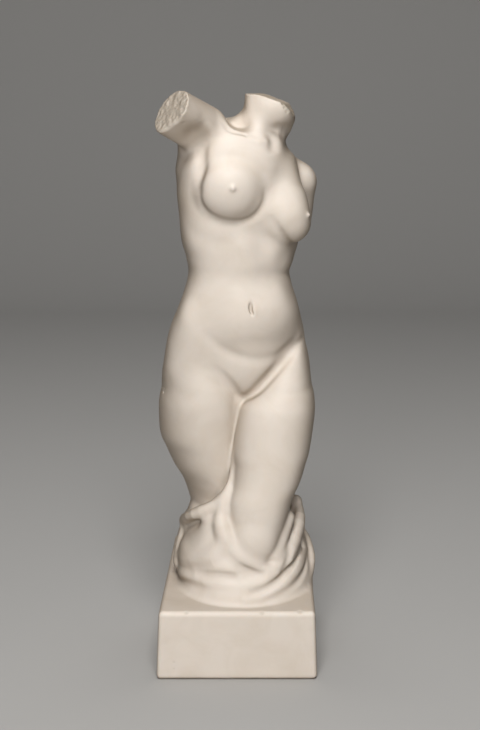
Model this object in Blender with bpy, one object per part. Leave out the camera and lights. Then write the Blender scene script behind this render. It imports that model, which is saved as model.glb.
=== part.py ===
# Marble torso of a standing woman, carved from one block with the cloth at its knees and its plinth.
# Metres, +Z up. The front faces -Y and the origin is the middle of the underside.
# The block is one distance field: each form of the body is a function that returns how far each
# point lies outside it, the forms are melted together, and the zero surface becomes the mesh.
import bpy
import numpy as np
from math import cos, radians, sin

# Driving dimensions of the block
TOTAL_HEIGHT = 0.644
PLINTH_WIDTH = 0.180
PLINTH_DEPTH = 0.210
PLINTH_FRONT_HEIGHT = 0.0775
PLINTH_BACK_HEIGHT = 0.105
PLINTH_EDGE = 0.005
PLINTH_SKEW = 0.006
BREAK_EDGE = 0.0015

# How the mesh is taken from the field
GRID_STEP = 0.004
COARSE_STEPS = 4
TRIANGLE_BUDGET = 9600

MARBLE_COLOUR = (0.80, 0.74, 0.66, 1.0)
MARBLE_ROUGHNESS = 0.42

FAR = 1.0


def turned(points, centre, yaw=0.0, pitch=0.0, roll=0.0):
    """Points seen from a form's own centre and axes. Yaw turns its front towards +X,
    pitch lifts its front, and roll lowers its +X side."""
    cy, sy = cos(radians(yaw)), sin(radians(yaw))
    cp, sp = cos(radians(pitch)), sin(radians(pitch))
    cr, sr = cos(radians(roll)), sin(radians(roll))
    about_z = np.array(((cy, -sy, 0), (sy, cy, 0), (0, 0, 1)))
    about_x = np.array(((1, 0, 0), (0, cp, sp), (0, -sp, cp)))
    about_y = np.array(((cr, 0, sr), (0, 1, 0), (-sr, 0, cr)))
    axes = about_z @ about_x @ about_y
    return (points - np.asarray(centre, np.float32)) @ axes.astype(np.float32)


def ellipsoid(points, centre, radii, yaw=0.0, pitch=0.0, roll=0.0):
    q = turned(points, centre, yaw, pitch, roll)
    radii = np.asarray(radii, np.float32)
    scaled = np.linalg.norm(q / radii, axis=1)
    steepness = np.linalg.norm(q / radii**2, axis=1)
    return scaled * (scaled - 1) / np.maximum(steepness, 1e-6)


def swell(points, centre, radii, height, yaw=0.0, pitch=0.0, roll=0.0):
    """A soft rise of the skin, height metres proud at its centre and gone a little past its radii."""
    q = turned(points, centre, yaw, pitch, roll) / np.asarray(radii, np.float32)
    return height * np.exp(-np.sum(q * q, axis=1))


def limb(points, start, end, start_radius, end_radius):
    """A round bar whose radius runs evenly from one end to the other, with round ends."""
    start = np.asarray(start, np.float32)
    along = np.asarray(end, np.float32) - start
    q = points - start
    share = np.clip(q @ along / (along @ along), 0, 1)
    reach = np.linalg.norm(q - share[:, None] * along, axis=1)
    return reach - (start_radius + (end_radius - start_radius) * share)


def smooth_line(knots, count):
    """Evenly numbered samples of a smooth curve through the knots, which may hold any columns."""
    knots = np.asarray(knots, float)
    slopes = np.gradient(knots, axis=0)
    place = np.linspace(0, len(knots) - 1, count)
    index = np.minimum(place.astype(int), len(knots) - 2)
    t = (place - index)[:, None]
    a, b, da, db = knots[index], knots[index + 1], slopes[index], slopes[index + 1]
    return (
        (2 * t**3 - 3 * t**2 + 1) * a
        + (t**3 - 2 * t**2 + t) * da
        + (3 * t**2 - 2 * t**3) * b
        + (t**3 - t**2) * db
    )


def near_line(points, knots, pieces, reach):
    """Which points come within reach of a smooth curve, and their distance from its skin.
    Each knot is x, y, z and a radius, or a strength, that runs evenly between knots."""
    line = smooth_line(knots, pieces + 1).astype(np.float32)
    low = line[:, :3].min(axis=0) - reach
    high = line[:, :3].max(axis=0) + reach
    near = np.flatnonzero(np.all((points > low) & (points < high), axis=1))
    return near, points[near], line


def fold(points, body, knots, soft=0.005, pieces=18, reach=0.032):
    """A swept bar along a smooth curve, melted onto the body. A knot is x, y, z, radius."""
    near, close, line = near_line(points, knots, pieces, reach)
    bar = np.full(len(close), FAR, np.float32)
    for first, last in zip(line[:-1], line[1:]):
        bar = np.minimum(bar, limb(close, first[:3], last[:3], first[3], last[3]))
    body = body.copy()
    body[near] = melt(body[near], bar, soft)
    return body


def furrow(points, body, knots, width, pieces=14):
    """A soft groove along a smooth curve. A knot is x, y, z, depth, and a negative depth is a ridge."""
    near, close, line = near_line(points, knots, pieces, 3 * width)
    nearest = np.full(len(close), FAR, np.float32)
    depth = np.zeros(len(close), np.float32)
    for first, last in zip(line[:-1], line[1:]):
        along = last[:3] - first[:3]
        q = close - first[:3]
        share = np.clip(q @ along / (along @ along), 0, 1)
        away = np.linalg.norm(q - share[:, None] * along, axis=1)
        closer = away < nearest
        nearest = np.where(closer, away, nearest)
        depth = np.where(closer, first[3] + (last[3] - first[3]) * share, depth)
    body = body.copy()
    body[near] += depth * np.exp(-(nearest / width) ** 2)
    return body


def column(points, stations, squareness=2.0):
    """An upright form through stations of z, centre x, centre y, half width, half depth, yaw."""
    stations = np.asarray(stations, float)
    order = np.argsort(stations[:, 0])
    stations = stations[order]
    table = smooth_line(stations, 200)
    z = points[:, 2]
    x, y, wide, deep, yaw = (np.interp(z, table[:, 0], table[:, i]) for i in range(1, 6))
    yaw = np.radians(yaw)
    dx, dy = points[:, 0] - x, points[:, 1] - y
    side = dx * np.cos(yaw) + dy * np.sin(yaw)
    front = dy * np.cos(yaw) - dx * np.sin(yaw)
    size = (np.abs(side / wide) ** squareness + np.abs(front / deep) ** squareness) ** (1 / squareness)
    radial = np.hypot(side, front)
    around = radial * (1 - 1 / np.maximum(size, 1e-4))
    below, above = stations[0, 0] - z, z - stations[-1, 0]
    return within(around, np.maximum(below, above), 0.012)


def melt(first, second, soft):
    """The two forms as one, with a fillet about as wide as soft."""
    share = np.clip(0.5 + 0.5 * (second - first) / soft, 0, 1)
    return second + (first - second) * share - soft * share * (1 - share)


def within(first, second, soft):
    """What both forms share, with a rounded edge."""
    return -melt(-first, -second, soft)


def carve(form, tool, soft):
    """The form with the tool cut out of it."""
    return within(form, -tool, soft)


# Trunk, from the crotch to the collar. The hips look nearly forwards and the chest turns to +X.
TRUNK = (
    # z, centre x, centre y, half width, half depth, yaw
    (0.290, 0.005, 0.012, 0.030, 0.026, 6),
    (0.306, -0.001, 0.010, 0.068, 0.040, 8),
    (0.325, -0.0015, 0.008, 0.0812, 0.046, 8),
    (0.352, -0.0015, 0.006, 0.0803, 0.048, 10),
    (0.382, 0.000, 0.002, 0.0757, 0.047, 13),
    (0.414, 0.001, 0.001, 0.0640, 0.044, 17),
    (0.441, 0.003, 0.005, 0.0580, 0.0465, 18),
    (0.459, 0.004, 0.006, 0.0609, 0.0470, 18),
    (0.480, 0.004, 0.0085, 0.0671, 0.0485, 21),
    (0.506, 0.001, 0.011, 0.0671, 0.0500, 26),
    (0.540, -0.002, 0.014, 0.0670, 0.0500, 31),
    (0.568, 0.001, 0.013, 0.0650, 0.045, 34),
    (0.596, 0.012, 0.014, 0.0480, 0.036, 34),
)

RIGHT_BREAST = dict(centre=(-0.0078, -0.0315, 0.5380), radii=(0.0370, 0.0305, 0.0355), yaw=4, pitch=-6)
LEFT_BREAST = dict(centre=(0.0515, -0.014, 0.5080), radii=(0.0290, 0.0300, 0.0295), yaw=60, pitch=-8)
LEFT_BREAST_BASE = dict(centre=(0.0590, -0.0130, 0.4985), radii=(0.0220, 0.0240, 0.0200))
NIPPLES = ((-0.0039, -0.0640, 0.5430), (0.0812, -0.0300, 0.5110))
BREAST_CREASE = (
    (-0.0405, -0.0470, 0.5400, 0.0008), (-0.0395, -0.0460, 0.5265, 0.0014),
    (-0.0345, -0.0470, 0.5165, 0.0018),
    (-0.0245, -0.0480, 0.5085, 0.0020), (-0.0115, -0.0470, 0.5045, 0.0020), (0.0035, -0.0430, 0.5045, 0.0020),
    (0.0180, -0.0405, 0.5100, 0.0020), (0.0265, -0.0405, 0.5195, 0.0018), (0.0310, -0.0395, 0.5305, 0.0012),
    (0.0285, -0.0405, 0.5435, 0.0000),
)
LEFT_BREAST_CREASE = (
    (0.0360, -0.0410, 0.5130, 0.0000), (0.0430, -0.0400, 0.5010, 0.0016), (0.0520, -0.0335, 0.4880, 0.0022),
    (0.0600, -0.0160, 0.4800, 0.0024), (0.0640, 0.0000, 0.4770, 0.0010),
)


SPINE = (
    (-0.0200, 0.054, 0.590, 0.0015), (-0.0265, 0.053, 0.560, 0.0040), (-0.0265, 0.050, 0.530, 0.0050),
    (-0.0215, 0.046, 0.495, 0.0050), (-0.0140, 0.042, 0.455, 0.0045), (-0.0118, 0.043, 0.425, 0.0040),
    (-0.0100, 0.048, 0.390, 0.0030), (-0.0060, 0.053, 0.362, 0.0015),
)
CLEFT = ((-0.0040, 0.062, 0.352, 0.002), (0.0005, 0.068, 0.325, 0.012), (0.0010, 0.058, 0.288, 0.014))
BELLY_EDGE = (
    (-0.0370, -0.0465, 0.3860, 0.0000), (-0.0260, -0.0460, 0.3735, 0.0012),
    (-0.0130, -0.0445, 0.3630, 0.0016),
    (0.0035, -0.0430, 0.3555, 0.0018), (0.0235, -0.0400, 0.3520, 0.0018), (0.0435, -0.0300, 0.3530, 0.0018),
    (0.0595, -0.0210, 0.3625, 0.0016), (0.0710, -0.0090, 0.3750, 0.0000),
)
RIGHT_GROIN = (
    (-0.0320, -0.0430, 0.3470, 0.0000), (-0.0220, -0.0420, 0.3395, 0.0014),
    (-0.0120, -0.0400, 0.3290, 0.0026),
    (-0.0020, -0.0350, 0.3150, 0.0034), (0.0045, -0.0270, 0.3055, 0.0034),
)
LEFT_GROIN = (
    (0.0070, -0.0280, 0.3040, 0.0038), (0.0195, -0.0325, 0.3110, 0.0046), (0.0295, -0.0335, 0.3210, 0.0046),
    (0.0415, -0.0310, 0.3340, 0.0042), (0.0540, -0.0250, 0.3480, 0.0036), (0.0655, -0.0160, 0.3605, 0.0026),
    (0.0750, -0.0005, 0.3680, 0.0010),
)
MOUND_SIDE = (
    (0.0165, -0.0330, 0.3110, 0.0020), (0.0270, -0.0340, 0.3225, 0.0030), (0.0390, -0.0315, 0.3365, 0.0030),
    (0.0515, -0.0260, 0.3505, 0.0028), (0.0635, -0.0170, 0.3640, 0.0012),
)
NAVEL = (
    (0.0155, -0.0500, 0.4175, 0.0010), (0.0150, -0.0510, 0.4125, 0.0040), (0.0155, -0.0515, 0.4080, 0.0045),
    (0.0175, -0.0530, 0.4050, 0.0020),
)
RIB_EDGE = (
    (-0.0600, -0.020, 0.5000, 0.0000), (-0.0480, -0.036, 0.4920, 0.0010), (-0.0330, -0.0460, 0.4840, 0.0014),
    (-0.0120, -0.0470, 0.4800, 0.0012), (0.0000, -0.0460, 0.4760, 0.0000),
)
WAIST_FOLD = (
    (0.0300, -0.034, 0.444, 0.0), (0.0460, -0.022, 0.442, 0.0012), (0.0570, 0.000, 0.442, 0.0016),
    (0.0560, 0.020, 0.445, 0.0012), (0.0400, 0.034, 0.449, 0.0),
)


def trunk(points):
    body = column(points, TRUNK, 2.15)
    # buttocks
    for centre, radii in (((-0.038, 0.032, 0.330), (0.041, 0.040, 0.045)),
                          ((0.039, 0.032, 0.322), (0.041, 0.040, 0.043))):
        body = melt(body, ellipsoid(points, centre, radii), 0.016)
    # belly, and the mound below it
    body = melt(body, ellipsoid(points, (0.014, -0.012, 0.399), (0.054, 0.043, 0.044), yaw=12), 0.014)
    body = melt(body, ellipsoid(points, (0.012, -0.0080, 0.356), (0.040, 0.035, 0.052), yaw=8), 0.010)
    # shoulder blades, hip bone and the pit of the stomach
    body -= swell(points, (-0.050, 0.028, 0.556), (0.022, 0.022, 0.030), 0.005)
    body -= swell(points, (0.002, 0.062, 0.540), (0.022, 0.022, 0.030), 0.005)
    body -= swell(points, (-0.0560, -0.0340, 0.4020), (0.015, 0.018, 0.020), 0.0045)
    body -= swell(points, (0.0140, -0.0310, 0.5650), (0.022, 0.020, 0.024), 0.0035)
    body -= swell(points, (0.0090, -0.0440, 0.4770), (0.013, 0.016, 0.012), 0.0030)
    body -= swell(points, (0.0150, -0.0430, 0.4560), (0.018, 0.018, 0.016), 0.0042)
    body -= swell(points, (0.0400, -0.0270, 0.4700), (0.011, 0.016, 0.014), 0.0030)
    body -= swell(points, (0.0014, -0.0496, 0.4265), (0.014, 0.016, 0.013), 0.0012)
    body -= swell(points, (0.0480, -0.0300, 0.4270), (0.014, 0.016, 0.014), 0.0016)
    body = furrow(points, body, SPINE, 0.010)
    body = furrow(points, body, CLEFT, 0.0065)
    body = furrow(points, body, BELLY_EDGE, 0.007)
    body = furrow(points, body, WAIST_FOLD, 0.007)
    # the arch of the ribs and the navel
    body = furrow(points, body, RIB_EDGE, 0.009)
    body = furrow(points, body, NAVEL, 0.0022)
    return body - swell(points, (0.0200, -0.0540, 0.4060), (0.0026, 0.0050, 0.0050), 0.0010)


def breasts(points, body):
    # breastbone, and the breast muscles from each breast up to its shoulder
    body = melt(body, ellipsoid(points, (0.014, -0.004, 0.556), (0.046, 0.038, 0.042), yaw=34), 0.012)
    body = melt(body, ellipsoid(points, (0.019, -0.010, 0.524), (0.036, 0.032, 0.036), yaw=34), 0.012)
    body = melt(body, ellipsoid(points, (-0.013, -0.010, 0.570), (0.034, 0.0285, 0.040), yaw=14, roll=20), 0.012)
    body = melt(body, limb(points, (0.052, -0.005, 0.530), (0.046, 0.012, 0.562), 0.023, 0.018), 0.016)
    body = melt(body, ellipsoid(points, **LEFT_BREAST), 0.014)
    body = melt(body, ellipsoid(points, **LEFT_BREAST_BASE), 0.006)
    body = melt(body, ellipsoid(points, **RIGHT_BREAST), 0.007)
    body = furrow(points, body, BREAST_CREASE, 0.0045)
    body = furrow(points, body, LEFT_BREAST_CREASE, 0.0050)
    for nipple in NIPPLES:
        body -= swell(points, nipple, (0.0036, 0.0050, 0.0036), 0.0028)
    return body


RIGHT_COLLARBONE = (
    (-0.0240, -0.0120, 0.6110, 0.0050), (-0.0116, -0.0205, 0.6020, 0.0050),
    (-0.0007, -0.0238, 0.5960, 0.0048),
    (0.0123, -0.0260, 0.5915, 0.0040), (0.0220, -0.0260, 0.5880, 0.0030),
)
LEFT_COLLARBONE = (
    (0.0300, -0.019, 0.5870, 0.0036), (0.0400, -0.007, 0.5830, 0.0042), (0.0530, 0.012, 0.5750, 0.0042),
    (0.0640, 0.026, 0.5640, 0.0040),
)
# The neck's own stations, wide above at the jaw and waisted above the collar.
NECK = (
    (0.560, 0.0310, 0.020, 0.0200, 0.024, 20),
    (0.583, 0.0340, 0.020, 0.0200, 0.024, 20),
    (0.592, 0.0355, 0.020, 0.0215, 0.024, 20),
    (0.602, 0.0370, 0.020, 0.0246, 0.025, 20),
    (0.611, 0.0385, 0.020, 0.0258, 0.026, 20),
    (0.625, 0.0382, 0.020, 0.0242, 0.026, 20),
    (0.660, 0.0380, 0.020, 0.0226, 0.026, 20),
)
NECK_MUSCLE = (
    (0.0270, -0.0180, 0.5880, 0.0050), (0.0235, -0.0060, 0.6020, 0.0095), (0.0240, 0.0050, 0.6180, 0.0140),
    (0.0250, 0.0070, 0.6400, 0.0142),
)
FAR_NECK_MUSCLE = (
    (0.0405, -0.0110, 0.5800, 0.0030), (0.0435, -0.0040, 0.5890, 0.0036), (0.0440, 0.0040, 0.5990, 0.0032),
    (0.0430, 0.0070, 0.6120, 0.0030),
)
NECK_PIT = (
    (0.0320, -0.0095, 0.6080, 0.0004), (0.0330, -0.0170, 0.5980, 0.0012), (0.0355, -0.0160, 0.5890, 0.0022),
    (0.0385, -0.0215, 0.5820, 0.0020), (0.0415, -0.0245, 0.5755, 0.0000),
)
NECK_UNDER = (
    (0.0460, -0.0040, 0.5990, 0.0010), (0.0530, -0.0010, 0.5975, 0.0030), (0.0600, 0.0080, 0.5980, 0.0034),
)
COLLAR_LINE = (
    (-0.0135, -0.0255, 0.6090, 0.0010), (-0.0085, -0.0270, 0.6035, 0.0025), (0.0005, -0.0275, 0.6005, 0.0025),
    (0.0080, -0.0270, 0.5985, 0.0020), (0.0125, -0.0295, 0.5955, 0.0005),
)


def shoulders(points, body):
    # upper back, and the girdle from her raised right shoulder down to her left one
    body = melt(body, ellipsoid(points, (0.006, 0.028, 0.562), (0.056, 0.032, 0.042), yaw=34, roll=14), 0.014)
    body = melt(body, limb(points, (-0.030, 0.012, 0.581), (0.058, 0.036, 0.545), 0.021, 0.021), 0.010)
    # the muscle from the back of the neck to each shoulder and down the back
    nape = (0.026, 0.036, 0.600)
    for end, start_radius, end_radius in (((-0.032, 0.026, 0.598), 0.016, 0.013),
                                          ((0.050, 0.040, 0.556), 0.016, 0.012),
                                          ((-0.006, 0.044, 0.556), 0.018, 0.018)):
        body = melt(body, limb(points, nape, end, start_radius, end_radius), 0.010)
    # the hollow behind the right collarbone
    body += swell(points, (0.000, -0.010, 0.612), (0.015, 0.014, 0.010), 0.011)
    for knots in (RIGHT_COLLARBONE, LEFT_COLLARBONE):
        body = fold(points, body, knots, 0.004)
    # the muscle that closes the armpit behind
    return melt(body, limb(points, (-0.0455, 0.004, 0.590), (-0.0500, 0.006, 0.556), 0.0145, 0.0135), 0.012)


def broken(points, form, planes):
    """A form broken off at planes, each a place on it and the way that it faces."""
    for place, facing in planes:
        facing = np.asarray(facing) / np.linalg.norm(facing)
        beyond = (np.asarray(place, np.float32) - points) @ facing.astype(np.float32)
        form = carve(form, beyond, BREAK_EDGE)
    return form


def neck(points, body):
    throat = column(points, NECK)
    throat = fold(points, throat, NECK_MUSCLE, 0.016)
    throat = fold(points, throat, FAR_NECK_MUSCLE, 0.016)
    throat = melt(throat, ellipsoid(points, (0.0440, 0.0060, 0.6240), (0.0170, 0.0170, 0.0130)), 0.016)
    throat += swell(points, (0.0470, 0.0000, 0.5990), (0.0140, 0.0140, 0.0100), 0.0045)
    throat = broken(points, throat, (
        ((0.026, 0.016, 0.6395), (0.04, 0.02, 1.0)),
        ((0.030, 0.016, 0.6388), (0.34, -0.02, 0.94)),
        ((0.0585, 0.008, 0.6245), (0.79, -0.12, 0.60)),
    ))
    body = melt(body, throat, 0.013)
    # the flare down to the raised shoulder, and the corner over the lowered one
    body = melt(body, limb(points, (0.0085, 0.024, 0.607), (0.0205, 0.018, 0.624), 0.010, 0.008), 0.010)
    body = melt(body, limb(points, (0.0000, 0.015, 0.599), (0.0140, 0.010, 0.608), 0.014, 0.0125), 0.008)
    body += swell(points, (0.0590, 0.0160, 0.5850), (0.0080, 0.0220, 0.0085), 0.0080)
    for knots, width in ((NECK_PIT, 0.0085), (NECK_UNDER, 0.0090), (COLLAR_LINE, 0.0030)):
        body = furrow(points, body, knots, width)
    return body


ARMPIT_EDGE = (
    (-0.0370, -0.0470, 0.6150, 0.0010), (-0.0365, -0.0400, 0.6040, 0.0030),
    (-0.0365, -0.0340, 0.5940, 0.0042),
    (-0.0380, -0.0300, 0.5835, 0.0052), (-0.0370, -0.0330, 0.5730, 0.0055),
    (-0.0375, -0.0370, 0.5625, 0.0050),
    (-0.0390, -0.0410, 0.5525, 0.0036), (-0.0420, -0.0440, 0.5420, 0.0020),
)


def arms(points, body):
    raised = limb(points, (-0.0375, -0.008, 0.6020), (-0.092, -0.072, 0.638), 0.0275, 0.0255)
    raised = broken(points, raised, (((-0.0690, -0.0500, 0.6220), (-0.71, -0.46, 0.53)),))
    # its flat underside, which faces down and forward, and the muscle from it down the flank
    underside = (points - np.array((-0.0606, -0.0524, 0.6042))) @ np.array((0.204, -0.606, -0.769))
    body = melt(body, within(raised, underside, 0.006), 0.012)
    body = melt(body, limb(points, (-0.0500, 0.004, 0.590), (-0.0520, 0.004, 0.562), 0.0130, 0.012), 0.010)
    # the armpit, and the edge of the breast muscle in front of it
    body += swell(points, (-0.0460, -0.0440, 0.5970), (0.0100, 0.0180, 0.0120), 0.0070)
    body = furrow(points, body, ARMPIT_EDGE, 0.0072)
    body = melt(body, limb(points, (0.050, 0.034, 0.556), (0.068, 0.036, 0.542), 0.017, 0.019), 0.008)
    lowered = limb(points, (0.0690, 0.036, 0.5405), (0.0650, 0.054, 0.478), 0.0205, 0.0185)
    lowered = broken(points, lowered, (((0.066, 0.048, 0.495), (0.05, 0.30, -0.93)),))
    return melt(body, lowered, 0.008)


# Her right thigh stands straight, her left one comes forward.
RIGHT_THIGH = (
    # z, centre x, centre y, half width, half depth, yaw
    (0.100, -0.0210, 0.012, 0.0280, 0.0300, 0),
    (0.150, -0.0210, 0.012, 0.0280, 0.0350, 20),
    (0.178, -0.0235, 0.012, 0.0268, 0.0410, 34),
    (0.199, -0.0280, 0.012, 0.0294, 0.0445, 34),
    (0.218, -0.0345, 0.012, 0.0343, 0.0480, 34),
    (0.237, -0.0395, 0.011, 0.0374, 0.0515, 34),
    (0.256, -0.0424, 0.010, 0.0423, 0.0540, 34),
    (0.290, -0.0414, 0.008, 0.0458, 0.0560, 28),
    (0.311, -0.0388, 0.007, 0.0451, 0.0540, 24),
    (0.325, -0.0405, 0.006, 0.0410, 0.0500, 15),
    (0.338, -0.0430, 0.005, 0.0340, 0.0460, 10),
    (0.352, -0.0480, 0.004, 0.0250, 0.0400, 5),
)
LEFT_THIGH = (
    (0.100, 0.0200, -0.036, 0.0180, 0.024, 0),
    (0.128, 0.0205, -0.037, 0.0240, 0.028, 0),
    (0.150, 0.0200, -0.036, 0.0325, 0.034, 0),
    (0.168, 0.0222, -0.034, 0.0350, 0.037, 0),
    (0.189, 0.0250, -0.030, 0.0382, 0.040, 0),
    (0.208, 0.0324, -0.025, 0.0395, 0.042, 0),
    (0.227, 0.0365, -0.020, 0.0415, 0.045, 0),
    (0.246, 0.0383, -0.015, 0.0449, 0.048, 0),
    (0.284, 0.0430, -0.006, 0.0455, 0.053, 0),
    (0.301, 0.0448, -0.002, 0.0425, 0.051, 0),
    (0.316, 0.0495, 0.002, 0.0330, 0.040, 0),
)
# The root of the left thigh, whose upper edge is the fold of the groin.
LEFT_HIP = (
    (0.275, 0.0450, 0.002, 0.0360, 0.046, 0),
    (0.301, 0.0460, 0.001, 0.0400, 0.051, 0),
    (0.315, 0.0500, 0.003, 0.0350, 0.048, 0),
    (0.330, 0.0545, 0.006, 0.0285, 0.043, 0),
    (0.346, 0.0605, 0.010, 0.0200, 0.036, 0),
    (0.363, 0.0655, 0.014, 0.0105, 0.026, 0),
)


def thighs(points, body):
    # crisp in front, where the groin is cut, and softer behind under the buttocks
    softness = np.interp(points[:, 1], (-0.020, 0.020), (0.004, 0.016))
    body = melt(body, column(points, RIGHT_THIGH, 2.0), softness)
    body = melt(body, column(points, LEFT_THIGH, 2.2), 0.75 * softness)
    body = furrow(points, body, RIGHT_GROIN, 0.0055)
    body = melt(body, column(points, LEFT_HIP, 2.2), 0.006)
    body = furrow(points, body, MOUND_SIDE, 0.0070)
    body = furrow(points, body, LEFT_GROIN, 0.0048)
    # the flesh where the thighs press together
    body = melt(body, limb(points, (0.001, 0.018, 0.300), (-0.005, 0.010, 0.190), 0.024, 0.018), 0.003)
    body = melt(body, limb(points, (-0.0020, -0.0165, 0.300), (-0.0125, -0.012, 0.205), 0.013, 0.012), 0.006)
    knee = ellipsoid(points, (0.0195, -0.056, 0.1440), (0.0235, 0.0180, 0.0245))
    return melt(body, knee, 0.010)


# The cloth: a heap round the knees, and the folds that lie on it.
CLOTH_HEAP = (
    (0.070, 0.0065, 0.000, 0.0780, 0.0880, 0),
    (0.082, 0.0070, 0.000, 0.0785, 0.0865, 0),
    (0.096, 0.0085, 0.000, 0.0780, 0.0825, 0),
    (0.120, 0.007, 0.004, 0.075, 0.0730, 0),
    (0.138, 0.006, 0.010, 0.070, 0.061, 0),
    (0.160, 0.004, 0.015, 0.062, 0.047, 0),
    (0.178, 0.006, 0.020, 0.058, 0.036, 0),
)

HEM_ROLL = (
    (-0.0085, -0.0400, 0.1990, 0.0050), (-0.0165, -0.0420, 0.1900, 0.0064),
    (-0.0270, -0.0410, 0.1815, 0.0074),
    (-0.0385, -0.0370, 0.1750, 0.0077), (-0.0500, -0.0280, 0.1675, 0.0074),
    (-0.0570, -0.0110, 0.1585, 0.0072),
    (-0.0575, 0.0120, 0.1505, 0.0072), (-0.0480, 0.0360, 0.1500, 0.0080), (-0.0180, 0.0540, 0.1570, 0.0080),
    (0.0200, 0.0540, 0.1640, 0.0080), (0.0500, 0.0380, 0.1680, 0.0080), (0.0685, 0.0200, 0.1700, 0.0060),
)
WEDGE = (
    (-0.0020, -0.0180, 0.2640, 0.0006), (-0.0025, -0.0290, 0.2385, 0.0012),
    (-0.0050, -0.0330, 0.2220, 0.0014),
    (-0.0090, -0.0390, 0.2065, 0.0022), (-0.0130, -0.0445, 0.1935, 0.0030),
    (-0.0165, -0.0495, 0.1815, 0.0038),
    (-0.0190, -0.0535, 0.1700, 0.0044), (-0.0175, -0.0585, 0.1585, 0.0050),
)
KNEE_RIM = (
    (-0.0165, -0.0590, 0.1640, 0.0030), (-0.0140, -0.0610, 0.1570, 0.0032),
    (-0.0075, -0.0655, 0.1440, 0.0036),
    (0.0015, -0.0690, 0.1335, 0.0036), (0.0125, -0.0708, 0.1258, 0.0034), (0.0250, -0.0702, 0.1195, 0.0032),
    (0.0375, -0.0655, 0.1150, 0.0030),
)
SWEEP = (
    (0.0690, 0.0200, 0.1705, 0.0052), (0.0712, 0.0120, 0.1640, 0.0062), (0.0702, -0.0040, 0.1550, 0.0090),
    (0.0660, -0.0180, 0.1460, 0.0106), (0.0602, -0.0330, 0.1350, 0.0116), (0.0525, -0.0480, 0.1225, 0.0106),
    (0.0425, -0.0590, 0.1120, 0.0094), (0.0295, -0.0675, 0.1040, 0.0082), (0.0140, -0.0725, 0.0990, 0.0068),
    (-0.0020, -0.0735, 0.0975, 0.0050), (-0.0190, -0.0710, 0.0990, 0.0034),
    (-0.0345, -0.0650, 0.1005, 0.0020),
)
OUTER_FOLDS = (
    ((0.0745, -0.0080, 0.1200, 0.0036), (0.0730, -0.0230, 0.1060, 0.0050), (0.0650, -0.0420, 0.0965, 0.0056),
     (0.0500, -0.0600, 0.0905, 0.0054), (0.0305, -0.0750, 0.0870, 0.0046), (0.0105, -0.0825, 0.0840, 0.0034)),
    ((0.0720, 0.0460, 0.1290, 0.0030), (0.0785, 0.0280, 0.1280, 0.0046), (0.0825, 0.0110, 0.1190, 0.0060),
     (0.0850, -0.0060, 0.1070, 0.0060),
     (0.0818, -0.0200, 0.0930, 0.0052), (0.0745, -0.0420, 0.0850, 0.0048), (0.0600, -0.0600, 0.0815, 0.0038),
     (0.0395, -0.0740, 0.0800, 0.0030)),
)
LEFT_RIDGE = (
    (-0.0130, -0.0610, 0.1495, 0.0040), (-0.0210, -0.0625, 0.1370, 0.0046),
    (-0.0320, -0.0590, 0.1250, 0.0046),
    (-0.0440, -0.0500, 0.1140, 0.0040),
)
LEFT_SIDE = (
    (-0.0560, 0.000, 0.1500, 0.0060), (-0.0610, -0.004, 0.1300, 0.0070), (-0.0650, -0.010, 0.1080, 0.0070),
)
BACK_FOLDS = (
    ((-0.0500, 0.030, 0.150, 0.004), (-0.0610, 0.042, 0.130, 0.007), (-0.0630, 0.054, 0.110, 0.009),
     (-0.0620, 0.062, 0.096, 0.009)),
    ((-0.0300, 0.046, 0.154, 0.004), (-0.0360, 0.061, 0.132, 0.008), (-0.0360, 0.075, 0.108, 0.012),
     (-0.0320, 0.082, 0.090, 0.012)),
    ((0.0020, 0.054, 0.158, 0.004), (0.0000, 0.067, 0.134, 0.007), (0.0080, 0.079, 0.110, 0.010),
     (0.0200, 0.085, 0.090, 0.011)),
    ((0.0360, 0.046, 0.162, 0.004), (0.0480, 0.059, 0.136, 0.008), (0.0560, 0.067, 0.112, 0.011),
     (0.0600, 0.072, 0.090, 0.012)),
    ((0.0640, 0.030, 0.160, 0.003), (0.0700, 0.040, 0.140, 0.006), (0.0750, 0.046, 0.116, 0.009),
     (0.0760, 0.050, 0.094, 0.009)),
)


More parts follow.
